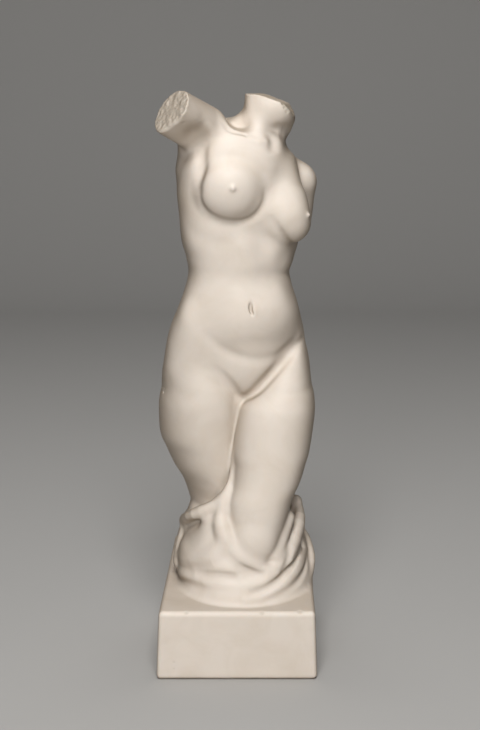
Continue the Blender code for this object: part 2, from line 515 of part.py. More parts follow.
FOLD_GROOVES = (
    # x, y, z, depth along each groove, then the groove's width
    (((-0.0110, -0.0525, 0.1835, 0.0000), (-0.0190, -0.0490, 0.1765, 0.0008),
      (-0.0305, -0.0370, 0.1665, 0.0012),
      (-0.0420, -0.0345, 0.1615, 0.0022), (-0.0535, -0.0290, 0.1570, 0.0030),
      (-0.0605, -0.0200, 0.1545, 0.0010)),
     0.0060),
    (((-0.0480, -0.0590, 0.1090, 0.0000), (-0.0335, -0.0710, 0.1105, 0.0040),
      (-0.0245, -0.0760, 0.1120, 0.0068),
      (-0.0155, -0.0780, 0.1120, 0.0062), (-0.0055, -0.0775, 0.1105, 0.0040),
      (0.0045, -0.0760, 0.1085, 0.0000)),
     0.0055),
    (((-0.0010, -0.0715, 0.1240, 0.0000), (0.0070, -0.0725, 0.1180, 0.0016),
      (0.0170, -0.0740, 0.1145, 0.0020),
      (0.0270, -0.0745, 0.1120, 0.0018), (0.0340, -0.0735, 0.1110, 0.0000)), 0.0080),
    (((0.0700, 0.0130, 0.1730, 0.0010), (0.0625, -0.0040, 0.1625, 0.0030), (0.0565, -0.0215, 0.1525, 0.0034),
      (0.0490, -0.0365, 0.1420, 0.0034), (0.0430, -0.0475, 0.1325, 0.0022),
      (0.0395, -0.0585, 0.1245, 0.0000)),
     0.0050),
    (((0.0735, -0.0110, 0.1400, 0.0010), (0.0720, -0.0180, 0.1240, 0.0040), (0.0640, -0.0420, 0.1170, 0.0045),
      (0.0555, -0.0585, 0.1105, 0.0050), (0.0430, -0.0720, 0.1020, 0.0050), (0.0280, -0.0800, 0.0960, 0.0045),
      (0.0115, -0.0840, 0.0930, 0.0000)), 0.0042),
    (((0.0615, -0.0455, 0.1380, 0.0000), (0.0595, -0.0530, 0.1285, 0.0024), (0.0555, -0.0600, 0.1190, 0.0024),
      (0.0485, -0.0665, 0.1105, 0.0000)), 0.0040),
    (((0.0775, -0.0120, 0.1170, 0.0010), (0.0770, -0.0285, 0.1070, 0.0030), (0.0720, -0.0465, 0.1000, 0.0035),
      (0.0610, -0.0650, 0.0935, 0.0030), (0.0440, -0.0790, 0.0880, 0.0024),
      (0.0280, -0.0850, 0.0845, 0.0000)),
     0.0045),
    (((-0.0675, -0.0215, 0.1080, 0.0030), (-0.0540, -0.0510, 0.1110, 0.0045),
      (-0.0400, -0.0645, 0.1170, 0.0026),
      (-0.0275, -0.0705, 0.1250, 0.0000)), 0.0080),
    (((-0.0735, -0.0010, 0.0915, 0.0020), (-0.0650, -0.0315, 0.0925, 0.0030),
      (-0.0530, -0.0550, 0.0945, 0.0030),
      (-0.0380, -0.0705, 0.0930, 0.0015), (-0.0230, -0.0795, 0.0895, 0.0000)), 0.0060),
    (((-0.0645, -0.0070, 0.1470, 0.0015), (-0.0640, -0.0120, 0.1375, 0.0025),
      (-0.0680, -0.0125, 0.1270, 0.0025),
      (-0.0705, -0.0140, 0.1155, 0.0000)), 0.0050),
)


def cloth(points, body):
    heap = column(points, CLOTH_HEAP, 2.2)
    body = melt(body, heap, 0.003)
    # the apron of cloth in front of the right knee, which widens as it falls
    apron = limb(points, (-0.0140, -0.0385, 0.186), (-0.011, -0.0405, 0.116), 0.010, 0.037)
    body = melt(body, apron, 0.009)
    body = melt(body, limb(points, (-0.0280, -0.0410, 0.163), (-0.026, -0.0410, 0.130), 0.0100, 0.020), 0.012)
    # the stone left between the thigh and the fold that sweeps round it
    body = melt(body, limb(points, (0.0560, -0.0320, 0.166), (0.0430, -0.0550, 0.128), 0.0100, 0.0085), 0.006)
    body = melt(body, limb(points, (-0.034, -0.024, 0.154), (-0.036, -0.028, 0.110), 0.014, 0.029), 0.018)
    body -= swell(points, (-0.0565, -0.0200, 0.1320), (0.012, 0.016, 0.007), 0.0030)
    body = fold(points, body, HEM_ROLL, 0.006)
    body = fold(points, body, WEDGE, 0.009)
    body = fold(points, body, KNEE_RIM, 0.012)
    for knots in (LEFT_RIDGE, LEFT_SIDE) + BACK_FOLDS:
        body = fold(points, body, knots, 0.012)
    for knots in (SWEEP,) + OUTER_FOLDS:
        body = fold(points, body, knots, 0.006)
    for knots, width in FOLD_GROOVES:
        body = furrow(points, body, knots, width)
    return body


def plinth(points, body):
    half_width, half_depth = PLINTH_WIDTH / 2, PLINTH_DEPTH / 2
    x, y, z = points.T
    share = (y + half_depth) / PLINTH_DEPTH
    rise = (PLINTH_BACK_HEIGHT - PLINTH_FRONT_HEIGHT) * share
    top = PLINTH_FRONT_HEIGHT + rise
    x = x - PLINTH_SKEW * share
    wide = half_width * (1 - 0.40 * z) * (1 - 0.06 * share)
    deep = half_depth * (1 - 0.35 * z)
    inner = np.stack((np.abs(x) - wide, np.abs(y) - deep, np.maximum(z - top, -z)), axis=1) + PLINTH_EDGE
    outside = np.linalg.norm(np.maximum(inner, 0), axis=1) + np.minimum(inner.max(axis=1), 0) - PLINTH_EDGE
    return within(melt(body, outside, 0.006), -z, 0.0005)


def figure(points):
    """How far each point lies outside the marble, and less than nothing inside it."""
    points = points.astype(np.float32)
    body = trunk(points)
    body = breasts(points, body)
    body = shoulders(points, body)
    body = neck(points, body)
    body = arms(points, body)
    body = thighs(points, body)
    body = cloth(points, body)
    return plinth(points, body)


def in_batches(field, points, size=400_000):
    return np.concatenate([field(points[i:i + size]) for i in range(0, len(points), size)])


def sampled(field, low, high, step, coarse_steps):
    """The field on a grid, worked out exactly only near the surface."""
    wide = step * coarse_steps
    counts = np.ceil((np.asarray(high) - low) / wide).astype(int)
    ticks = [low[a] + wide * np.arange(counts[a] + 1) for a in range(3)]
    coarse_points = np.stack(np.meshgrid(*ticks, indexing="ij"), axis=-1).reshape(-1, 3)
    coarse = in_batches(field, coarse_points).reshape(counts + 1)
    fine_shape = counts * coarse_steps + 1
    index = [np.minimum(np.arange(n) / coarse_steps, c).round().astype(int) for n, c in zip(fine_shape, counts)]
    values = coarse[np.ix_(*index)].astype(np.float32)
    close = np.abs(values) < 2.2 * wide
    i, j, k = np.nonzero(close)
    points = np.stack((low[0] + i * step, low[1] + j * step, low[2] + k * step), axis=1)
    values[i, j, k] = in_batches(field, points)
    return values


def square(inside, along, across):
    """The four corners of every grid square in one plane, in order round it."""
    near, far = slice(0, -1), slice(1, None)
    corners = []
    for a, b in ((near, near), (far, near), (far, far), (near, far)):
        place = [slice(None)] * 3
        place[along], place[across] = a, b
        corners.append(inside[tuple(place)])
    return corners


def untangled(values, step):
    """The grid with every square and cell filled whose inside corners meet only across a diagonal,
    so that the surface never touches itself."""
    values = values.copy()
    tangled = True
    while tangled:
        inside = values < 0
        fill = np.zeros_like(inside)
        for along, across in ((0, 1), (0, 2), (1, 2)):
            a, b, c, d = square(inside, along, across)
            crossed = (a & c & ~b & ~d) | (~a & ~c & b & d)
            for corner in square(fill, along, across):
                corner |= crossed
        corners = [(a, b, c) for a in (0, 1) for b in (0, 1) for c in (0, 1)]
        views = [tuple(slice(o, n - 1 + o) for o, n in zip(corner, inside.shape)) for corner in corners]
        count = sum(inside[view].astype(np.int8) for view in views)
        for first, last in zip(views[:4], views[:3:-1]):
            both = inside[first] & inside[last] & (count == 2)
            neither = ~inside[first] & ~inside[last] & (count == 6)
            for view in views:
                fill[view] |= both | neither
        fill &= ~inside
        values[fill] = -0.1 * step
        tangled = fill.any()
    return values


def surface_of(values, low, step):
    """Points and quads of the grid's zero surface: one point in each cell that it crosses,
    and one quad round each grid edge that it cuts."""
    inside = values < 0
    cells = tuple(n - 1 for n in values.shape)
    corners = [(a, b, c) for a in (0, 1) for b in (0, 1) for c in (0, 1)]

    def at(grid, corner):
        return grid[tuple(slice(o, o + n) for o, n in zip(corner, cells))]

    count = sum(at(inside, c).astype(np.int8) for c in corners)
    crossed = (count > 0) & (count < 8)
    number = np.full(cells, -1, np.int64)
    number[crossed] = np.arange(crossed.sum())
    total = np.zeros((crossed.sum(), 3))
    cuts = np.zeros(crossed.sum())
    for axis in range(3):
        for corner in corners:
            if corner[axis]:
                continue
            far = tuple(1 if i == axis else o for i, o in enumerate(corner))
            a, b = at(values, corner)[crossed], at(values, far)[crossed]
            cut = (a < 0) != (b < 0)
            share = np.where(cut, a / np.where(cut, a - b, 1), 0)
            place = np.tile(np.asarray(corner, float), (len(a), 1))
            place[:, axis] = share
            total += place * cut[:, None]
            cuts += cut
    cell = np.stack(np.nonzero(crossed), axis=1)
    verts = np.asarray(low) + step * (cell + total / cuts[:, None])
    quads = []
    for axis in range(3):
        side, up = (axis + 1) % 3, (axis + 2) % 3
        first = [slice(1, -1)] * 3
        first[axis] = slice(0, -1)
        second = list(first)
        second[axis] = slice(1, None)
        a, b = inside[tuple(first)], inside[tuple(second)]
        for leaving in (True, False):
            hits = np.stack(np.nonzero(a & ~b if leaving else ~a & b), axis=1)
            hits += [0 if i == axis else 1 for i in range(3)]
            ring = []
            for ds, du in ((-1, -1), (0, -1), (0, 0), (-1, 0)):
                cell = hits.copy()
                cell[:, side] += ds
                cell[:, up] += du
                ring.append(number[tuple(cell.T)])
            ring = np.stack(ring, axis=1)
            quads.append(ring if leaving else ring[:, ::-1])
    return verts, np.concatenate(quads)


def settled(field, verts, passes=3, probe=0.0005):
    """Points moved along the field's slope until they lie on its zero surface."""
    for _ in range(passes):
        slope = np.stack([
            in_batches(field, verts + probe * axis) - in_batches(field, verts - probe * axis)
            for axis in np.eye(3)
        ], axis=1) / (2 * probe)
        steep = np.maximum(np.sum(slope * slope, axis=1), 0.2)
        move = slope * (in_batches(field, verts) / steep)[:, None]
        verts = verts - np.clip(move, -0.001, 0.001)
    return verts


def marble_block(step):
    low = np.array((-0.106, -0.122, -0.013))
    high = np.array((0.106, 0.122, TOTAL_HEIGHT + 0.016))
    values = untangled(sampled(figure, low, high, step, COARSE_STEPS), step)
    verts, quads = surface_of(values, low, step)
    return settled(figure, verts), quads


def marble():
    material = bpy.data.materials.new("marble")
    material.use_nodes = True
    shader = material.node_tree.nodes["Principled BSDF"]
    shader.inputs["Base Color"].default_value = MARBLE_COLOUR
    shader.inputs["Roughness"].default_value = MARBLE_ROUGHNESS
    shader.inputs["Metallic"].default_value = 0.0
    return material


def build():
    for item in list(bpy.data.objects):
        bpy.data.objects.remove(item)
    parts = bpy.data.collections.new("torso_sculpture")
    bpy.context.scene.collection.children.link(parts)
    verts, quads = marble_block(GRID_STEP)
    mesh = bpy.data.meshes.new("marble_torso")
    mesh.from_pydata(verts.tolist(), [], quads.tolist())
    mesh.materials.append(marble())
    mesh.shade_smooth()
    torso = bpy.data.objects.new("marble_torso", mesh)
    parts.objects.link(torso)
    thin = torso.modifiers.new("triangle_budget", "DECIMATE")
    thin.ratio = TRIANGLE_BUDGET / (2 * len(quads))
    thin.use_collapse_triangulate = True


if __name__ == "__main__":
    build()
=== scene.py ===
from math import cos, radians, sin

import bpy
import numpy as np
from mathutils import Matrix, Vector


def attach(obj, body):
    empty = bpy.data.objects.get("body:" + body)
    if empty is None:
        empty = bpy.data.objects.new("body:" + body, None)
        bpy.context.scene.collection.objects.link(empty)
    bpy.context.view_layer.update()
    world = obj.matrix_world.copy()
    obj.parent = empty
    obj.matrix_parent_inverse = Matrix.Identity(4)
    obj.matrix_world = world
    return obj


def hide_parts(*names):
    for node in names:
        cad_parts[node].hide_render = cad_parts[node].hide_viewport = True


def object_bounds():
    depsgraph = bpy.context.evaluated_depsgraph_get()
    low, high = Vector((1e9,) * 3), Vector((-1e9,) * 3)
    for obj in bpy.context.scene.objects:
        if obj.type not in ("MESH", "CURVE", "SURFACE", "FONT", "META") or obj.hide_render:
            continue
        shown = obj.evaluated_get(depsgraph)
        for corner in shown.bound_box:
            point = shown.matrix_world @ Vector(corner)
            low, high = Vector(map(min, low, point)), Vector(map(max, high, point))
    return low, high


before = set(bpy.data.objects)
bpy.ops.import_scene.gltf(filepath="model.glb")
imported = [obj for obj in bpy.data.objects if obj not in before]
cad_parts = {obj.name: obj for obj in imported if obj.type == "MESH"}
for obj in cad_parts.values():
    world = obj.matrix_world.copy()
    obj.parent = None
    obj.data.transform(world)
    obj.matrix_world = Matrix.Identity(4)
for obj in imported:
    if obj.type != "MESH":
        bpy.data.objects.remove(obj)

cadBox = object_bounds()

torso = {
    "node": "marble_torso",
    "breakEdge": 0.0015,
    "gridLow": (-0.106, -0.122, -0.013),
    "gridHigh": (0.106, 0.122, 0.660),
    "gridStep": 0.0015,
    "coarseSteps": 4,
    "triangles": 194000,
}
plinthForm = {
    "width": 0.180,
    "depth": 0.210,
    "frontHeight": 0.0775,
    "backHeight": 0.105,
    "edge": 0.005,
    "skew": 0.006,
    "sideTaper": 0.40,
    "endTaper": 0.35,
    "backTaper": 0.06,
}
farAway = 1.0


# The marble is one distance field: each form below gives, for every point, how far it lies outside
# that form, and less than nothing inside it.

# Points seen from a form's own centre and axes. Yaw turns its front towards +X, pitch lifts its
# front, and roll lowers its +X side.
def turned(points, centre, yaw=0.0, pitch=0.0, roll=0.0):
    cy, sy = cos(radians(yaw)), sin(radians(yaw))
    cp, sp = cos(radians(pitch)), sin(radians(pitch))
    cr, sr = cos(radians(roll)), sin(radians(roll))
    aboutZ = np.array(((cy, -sy, 0), (sy, cy, 0), (0, 0, 1)))
    aboutX = np.array(((1, 0, 0), (0, cp, sp), (0, -sp, cp)))
    aboutY = np.array(((cr, 0, sr), (0, 1, 0), (-sr, 0, cr)))
    axes = aboutZ @ aboutX @ aboutY
    return (points - np.asarray(centre, np.float32)) @ axes.astype(np.float32)


def ellipsoid(points, centre, radii, yaw=0.0, pitch=0.0, roll=0.0):
    q = turned(points, centre, yaw, pitch, roll)
    radii = np.asarray(radii, np.float32)
    scaled = np.linalg.norm(q / radii, axis=1)
    steepness = np.linalg.norm(q / radii**2, axis=1)
    return scaled * (scaled - 1) / np.maximum(steepness, 1e-6)


# A bell-shaped height, full at its centre and gone a little past its radii. Taken from a field it is
# a soft rise of the skin, and added to one it is a hollow.
def swell(points, centre, radii, height, yaw=0.0, pitch=0.0, roll=0.0):
    q = turned(points, centre, yaw, pitch, roll) / np.asarray(radii, np.float32)
    return height * np.exp(-np.sum(q * q, axis=1))


# A round bar whose radius runs evenly from one end to the other, with round ends.
def limb(points, start, end, startRadius, endRadius):
    start = np.asarray(start, np.float32)
    along = np.asarray(end, np.float32) - start
    q = points - start
    share = np.clip(q @ along / (along @ along), 0, 1)
    reach = np.linalg.norm(q - share[:, None] * along, axis=1)
    return reach - (startRadius + (endRadius - startRadius) * share)


# Evenly numbered samples of a smooth curve through the knots, which may hold any columns.
def smoothLine(knots, count):
    knots = np.asarray(knots, float)
    slopes = np.gradient(knots, axis=0)
    place = np.linspace(0, len(knots) - 1, count)
    index = np.minimum(place.astype(int), len(knots) - 2)
    t = (place - index)[:, None]
    a, b, da, db = knots[index], knots[index + 1], slopes[index], slopes[index + 1]
    return (
        (2 * t**3 - 3 * t**2 + 1) * a
        + (t**3 - 2 * t**2 + t) * da
        + (3 * t**2 - 2 * t**3) * b
        + (t**3 - t**2) * db
    )


# The points within reach of a smooth curve, by number and by place, and the curve cut into pieces.
# Each knot is x, y, z and a radius, or a depth, that runs evenly between knots.
def nearLine(points, knots, pieces, reach):
    line = smoothLine(knots, pieces + 1).astype(np.float32)
    low = line[:, :3].min(axis=0) - reach
    high = line[:, :3].max(axis=0) + reach
    near = np.flatnonzero(np.all((points > low) & (points < high), axis=1))
    return near, points[near], line


# A round bar along a smooth curve, melted onto the body. A knot is x, y, z, radius.
def fold(points, body, knots, soft=0.005, pieces=18, reach=0.032):
    near, close, line = nearLine(points, knots, pieces, reach)
    bar = np.full(len(close), farAway, np.float32)
    for first, last in zip(line[:-1], line[1:]):
        bar = np.minimum(bar, limb(close, first[:3], last[:3], first[3], last[3]))
    body = body.copy()
    body[near] = melt(body[near], bar, soft)
    return body


# A soft groove along a smooth curve. A knot is x, y, z, depth, and a negative depth is a ridge.
def furrow(points, body, knots, width, pieces=14):
    near, close, line = nearLine(points, knots, pieces, 3 * width)
    nearest = np.full(len(close), farAway, np.float32)
    depth = np.zeros(len(close), np.float32)
    for first, last in zip(line[:-1], line[1:]):
        along = last[:3] - first[:3]
        q = close - first[:3]
        share = np.clip(q @ along / (along @ along), 0, 1)
        away = np.linalg.norm(q - share[:, None] * along, axis=1)
        closer = away < nearest
        nearest = np.where(closer, away, nearest)
        depth = np.where(closer, first[3] + (last[3] - first[3]) * share, depth)
    body = body.copy()
    body[near] += depth * np.exp(-(nearest / width) ** 2)
    return body


# An upright form through stations of z, centre x, centre y, half width, half depth and yaw. Squareness
# 2 makes its sections ellipses, and more makes them squarer.
def column(points, stations, squareness=2.0):
    stations = np.asarray(stations, float)
    order = np.argsort(stations[:, 0])
    stations = stations[order]
    table = smoothLine(stations, 200)
    z = points[:, 2]
    x, y, wide, deep, yaw = (np.interp(z, table[:, 0], table[:, i]) for i in range(1, 6))
    yaw = np.radians(yaw)
    dx, dy = points[:, 0] - x, points[:, 1] - y
    side = dx * np.cos(yaw) + dy * np.sin(yaw)
    front = dy * np.cos(yaw) - dx * np.sin(yaw)
    size = (np.abs(side / wide) ** squareness + np.abs(front / deep) ** squareness) ** (1 / squareness)
    radial = np.hypot(side, front)
    around = radial * (1 - 1 / np.maximum(size, 1e-4))
    below, above = stations[0, 0] - z, z - stations[-1, 0]
    return within(around, np.maximum(below, above), 0.012)


# The two forms as one, with a fillet about as wide as soft.
def melt(first, second, soft):
    share = np.clip(0.5 + 0.5 * (second - first) / soft, 0, 1)
    return second + (first - second) * share - soft * share * (1 - share)


# What both forms share, with a rounded edge.
def within(first, second, soft):
    return -melt(-first, -second, soft)


# The form with the tool cut out of it.
def carve(form, tool, soft):
    return within(form, -tool, soft)


# Trunk, from the crotch to the collar. The hips look nearly forwards and the chest turns to +X.
trunkStations = (
    # z, centre x, centre y, half width, half depth, yaw
    (0.290, 0.005, 0.012, 0.030, 0.026, 6),
    (0.306, -0.001, 0.010, 0.068, 0.040, 8),
    (0.325, -0.0015, 0.008, 0.0812, 0.046, 8),
    (0.352, -0.0015, 0.006, 0.0803, 0.048, 10),
    (0.382, 0.000, 0.002, 0.0757, 0.047, 13),
    (0.414, 0.001, 0.001, 0.0640, 0.044, 17),
    (0.441, 0.003, 0.005, 0.0580, 0.0465, 18),
    (0.459, 0.004, 0.006, 0.0609, 0.0470, 18),
    (0.480, 0.004, 0.0085, 0.0671, 0.0485, 21),
    (0.506, 0.001, 0.011, 0.0671, 0.0500, 26),
    (0.540, -0.002, 0.014, 0.0670, 0.0500, 31),
    (0.568, 0.001, 0.013, 0.0650, 0.045, 34),
    (0.596, 0.012, 0.014, 0.0480, 0.036, 34),
)

rightBreast = {"centre": (-0.0078, -0.0315, 0.5380), "radii": (0.0370, 0.0305, 0.0355), "yaw": 4, "pitch": -6}
leftBreast = {"centre": (0.0515, -0.014, 0.5080), "radii": (0.0290, 0.0300, 0.0295), "yaw": 60, "pitch": -8}
leftBreastBase = {"centre": (0.0590, -0.0130, 0.4985), "radii": (0.0220, 0.0240, 0.0200)}
nipples = ((-0.0039, -0.0640, 0.5430), (0.0812, -0.0300, 0.5110))
breastCrease = (
    (-0.0405, -0.0470, 0.5400, 0.0008), (-0.0395, -0.0460, 0.5265, 0.0014),
    (-0.0345, -0.0470, 0.5165, 0.0018), (-0.0245, -0.0480, 0.5085, 0.0020),
    (-0.0115, -0.0470, 0.5045, 0.0020), (0.0035, -0.0430, 0.5045, 0.0020),
    (0.0180, -0.0405, 0.5100, 0.0020), (0.0265, -0.0405, 0.5195, 0.0018),
    (0.0310, -0.0395, 0.5305, 0.0012), (0.0285, -0.0405, 0.5435, 0.0000),
)
leftBreastCrease = (
    (0.0360, -0.0410, 0.5130, 0.0000), (0.0430, -0.0400, 0.5010, 0.0016),
    (0.0520, -0.0335, 0.4880, 0.0022), (0.0600, -0.0160, 0.4800, 0.0024), (0.0640, 0.0000, 0.4770, 0.0010),
)

spineLine = (
    (-0.0200, 0.054, 0.590, 0.0015), (-0.0265, 0.053, 0.560, 0.0040), (-0.0265, 0.050, 0.530, 0.0050),
    (-0.0215, 0.046, 0.495, 0.0050), (-0.0140, 0.042, 0.455, 0.0045), (-0.0118, 0.043, 0.425, 0.0040),
    (-0.0100, 0.048, 0.390, 0.0030), (-0.0060, 0.053, 0.362, 0.0015),
)
cleftLine = ((-0.0040, 0.062, 0.352, 0.002), (0.0005, 0.068, 0.325, 0.012), (0.0010, 0.058, 0.288, 0.014))
bellyEdge = (
    (-0.0370, -0.0465, 0.3860, 0.0000), (-0.0260, -0.0460, 0.3735, 0.0012),
    (-0.0130, -0.0445, 0.3630, 0.0016), (0.0035, -0.0430, 0.3555, 0.0018),
    (0.0235, -0.0400, 0.3520, 0.0018), (0.0435, -0.0300, 0.3530, 0.0018),
    (0.0595, -0.0210, 0.3625, 0.0016), (0.0710, -0.0090, 0.3750, 0.0000),
)
rightGroin = (
    (-0.0320, -0.0430, 0.3470, 0.0000), (-0.0220, -0.0420, 0.3395, 0.0014),
    (-0.0120, -0.0400, 0.3290, 0.0026), (-0.0020, -0.0350, 0.3150, 0.0034),
    (0.0045, -0.0270, 0.3055, 0.0034),
)
leftGroin = (
    (0.0070, -0.0280, 0.3040, 0.0038), (0.0195, -0.0325, 0.3110, 0.0046),
    (0.0295, -0.0335, 0.3210, 0.0046), (0.0415, -0.0310, 0.3340, 0.0042),
    (0.0540, -0.0250, 0.3480, 0.0036), (0.0655, -0.0160, 0.3605, 0.0026),
    (0.0750, -0.0005, 0.3680, 0.0010),
)
moundSide = (
    (0.0165, -0.0330, 0.3110, 0.0020), (0.0270, -0.0340, 0.3225, 0.0030),
    (0.0390, -0.0315, 0.3365, 0.0030), (0.0515, -0.0260, 0.3505, 0.0028),
    (0.0635, -0.0170, 0.3640, 0.0012),
)
navelCut = (
    (0.0155, -0.0500, 0.4175, 0.0010), (0.0150, -0.0510, 0.4125, 0.0040),
    (0.0155, -0.0515, 0.4080, 0.0045), (0.0175, -0.0530, 0.4050, 0.0020),
)
ribEdge = (
    (-0.0600, -0.020, 0.5000, 0.0000), (-0.0480, -0.036, 0.4920, 0.0010),
    (-0.0330, -0.0460, 0.4840, 0.0014), (-0.0120, -0.0470, 0.4800, 0.0012),
    (0.0000, -0.0460, 0.4760, 0.0000),
)
waistFold = (
    (0.0300, -0.034, 0.444, 0.0), (0.0460, -0.022, 0.442, 0.0012), (0.0570, 0.000, 0.442, 0.0016),
    (0.0560, 0.020, 0.445, 0.0012), (0.0400, 0.034, 0.449, 0.0),
)
# Shoulder blades, right hip bone, breastbone, then the soft rises from the ribs down to the navel.
trunkRises = (
    # centre, radii, height
    ((-0.050, 0.028, 0.556), (0.022, 0.022, 0.030), 0.005),
    ((0.002, 0.062, 0.540), (0.022, 0.022, 0.030), 0.005),
    ((-0.0560, -0.0340, 0.4020), (0.015, 0.018, 0.020), 0.0045),
    ((0.0140, -0.0310, 0.5650), (0.022, 0.020, 0.024), 0.0035),
    ((0.0090, -0.0440, 0.4770), (0.013, 0.016, 0.012), 0.0030),
    ((0.0150, -0.0430, 0.4560), (0.018, 0.018, 0.016), 0.0042),
    ((0.0400, -0.0270, 0.4700), (0.011, 0.016, 0.014), 0.0030),
    ((0.0014, -0.0496, 0.4265), (0.014, 0.016, 0.013), 0.0012),
    ((0.0480, -0.0300, 0.4270), (0.014, 0.016, 0.014), 0.0016),
)
buttocks = (
    ((-0.038, 0.032, 0.330), (0.041, 0.040, 0.045)),
    ((0.039, 0.032, 0.322), (0.041, 0.040, 0.043)),
)


def trunk(points):
    body = column(points, trunkStations, 2.15)
    for centre, radii in buttocks:
        body = melt(body, ellipsoid(points, centre, radii), 0.016)
    # belly, and the mound below it
    body = melt(body, ellipsoid(points, (0.014, -0.012, 0.399), (0.054, 0.043, 0.044), yaw=12), 0.014)
    body = melt(body, ellipsoid(points, (0.012, -0.0080, 0.356), (0.040, 0.035, 0.052), yaw=8), 0.010)
    for centre, radii, height in trunkRises:
        body -= swell(points, centre, radii, height)
    for knots, width in ((spineLine, 0.010), (cleftLine, 0.0065), (bellyEdge, 0.007), (waistFold, 0.007),
                         (ribEdge, 0.009), (navelCut, 0.0022)):
        body = furrow(points, body, knots, width)
    # the lip beside the navel
    return body - swell(points, (0.0200, -0.0540, 0.4060), (0.0026, 0.0050, 0.0050), 0.0010)


def breasts(points, body):
    # breastbone, and the breast muscles from each breast up to its shoulder
    body = melt(body, ellipsoid(points, (0.014, -0.004, 0.556), (0.046, 0.038, 0.042), yaw=34), 0.012)
    body = melt(body, ellipsoid(points, (0.019, -0.010, 0.524), (0.036, 0.032, 0.036), yaw=34), 0.012)
    rightMuscle = ellipsoid(points, (-0.013, -0.010, 0.570), (0.034, 0.0285, 0.040), yaw=14, roll=20)
    body = melt(body, rightMuscle, 0.012)
    body = melt(body, limb(points, (0.052, -0.005, 0.530), (0.046, 0.012, 0.562), 0.023, 0.018), 0.016)
    body = melt(body, ellipsoid(points, **leftBreast), 0.014)
    body = melt(body, ellipsoid(points, **leftBreastBase), 0.006)
    body = melt(body, ellipsoid(points, **rightBreast), 0.007)
    body = furrow(points, body, breastCrease, 0.0045)
    body = furrow(points, body, leftBreastCrease, 0.0050)
    for nipple in nipples:
        body -= swell(points, nipple, (0.0036, 0.0050, 0.0036), 0.0028)
    return body


rightCollarbone = (
    (-0.0240, -0.0120, 0.6110, 0.0050), (-0.0116, -0.0205, 0.6020, 0.0050),
    (-0.0007, -0.0238, 0.5960, 0.0048), (0.0123, -0.0260, 0.5915, 0.0040),
    (0.0220, -0.0260, 0.5880, 0.0030),
)
leftCollarbone = (
    (0.0300, -0.019, 0.5870, 0.0036), (0.0400, -0.007, 0.5830, 0.0042), (0.0530, 0.012, 0.5750, 0.0042),
    (0.0640, 0.026, 0.5640, 0.0040),
)
# The neck's own stations, wide above at the jaw and waisted above the collar.
neckStations = (
    (0.560, 0.0310, 0.020, 0.0200, 0.024, 20),
    (0.583, 0.0340, 0.020, 0.0200, 0.024, 20),
    (0.592, 0.0355, 0.020, 0.0215, 0.024, 20),
    (0.602, 0.0370, 0.020, 0.0246, 0.025, 20),
    (0.611, 0.0385, 0.020, 0.0258, 0.026, 20),
    (0.625, 0.0382, 0.020, 0.0242, 0.026, 20),
    (0.660, 0.0380, 0.020, 0.0226, 0.026, 20),
)
neckMuscle = (
    (0.0270, -0.0180, 0.5880, 0.0050), (0.0235, -0.0060, 0.6020, 0.0095), (0.0240, 0.0050, 0.6180, 0.0140),
    (0.0250, 0.0070, 0.6400, 0.0142),
)
farNeckMuscle = (
    (0.0405, -0.0110, 0.5800, 0.0030), (0.0435, -0.0040, 0.5890, 0.0036), (0.0440, 0.0040, 0.5990, 0.0032),
    (0.0430, 0.0070, 0.6120, 0.0030),
)
neckPit = (
    (0.0320, -0.0095, 0.6080, 0.0004), (0.0330, -0.0170, 0.5980, 0.0012),
    (0.0355, -0.0160, 0.5890, 0.0022), (0.0385, -0.0215, 0.5820, 0.0020),
    (0.0415, -0.0245, 0.5755, 0.0000),
)
neckUnder = (
    (0.0460, -0.0040, 0.5990, 0.0010), (0.0530, -0.0010, 0.5975, 0.0030), (0.0600, 0.0080, 0.5980, 0.0034),
)
collarLine = (
    (-0.0135, -0.0255, 0.6090, 0.0010), (-0.0085, -0.0270, 0.6035, 0.0025),
    (0.0005, -0.0275, 0.6005, 0.0025), (0.0080, -0.0270, 0.5985, 0.0020),
    (0.0125, -0.0295, 0.5955, 0.0005),
)
nape = (0.026, 0.036, 0.600)
napeMuscles = (
    # far end, radius at the nape, radius at that end
    ((-0.032, 0.026, 0.598), 0.016, 0.013),
    ((0.050, 0.040, 0.556), 0.016, 0.012),
    ((-0.006, 0.044, 0.556), 0.018, 0.018),
)


def shoulders(points, body):
    # upper back, and the girdle from her raised right shoulder down to her left one
    body = melt(body, ellipsoid(points, (0.006, 0.028, 0.562), (0.056, 0.032, 0.042), yaw=34, roll=14), 0.014)
    body = melt(body, limb(points, (-0.030, 0.012, 0.581), (0.058, 0.036, 0.545), 0.021, 0.021), 0.010)
    # the muscle from the back of the neck to each shoulder and down the back
    for end, startRadius, endRadius in napeMuscles:
        body = melt(body, limb(points, nape, end, startRadius, endRadius), 0.010)
    # the hollow behind the right collarbone
    body += swell(points, (0.000, -0.010, 0.612), (0.015, 0.014, 0.010), 0.011)
    for knots in (rightCollarbone, leftCollarbone):
        body = fold(points, body, knots, 0.004)
    # the muscle that closes the armpit behind
    return melt(body, limb(points, (-0.0455, 0.004, 0.590), (-0.0500, 0.006, 0.556), 0.0145, 0.0135), 0.012)


# A form broken off at planes, each a place on it and the way that it faces.
def broken(points, form, planes):
    for place, facing in planes:
        facing = np.asarray(facing) / np.linalg.norm(facing)
        beyond = (np.asarray(place, np.float32) - points) @ facing.astype(np.float32)
        form = carve(form, beyond, torso["breakEdge"])
    return form


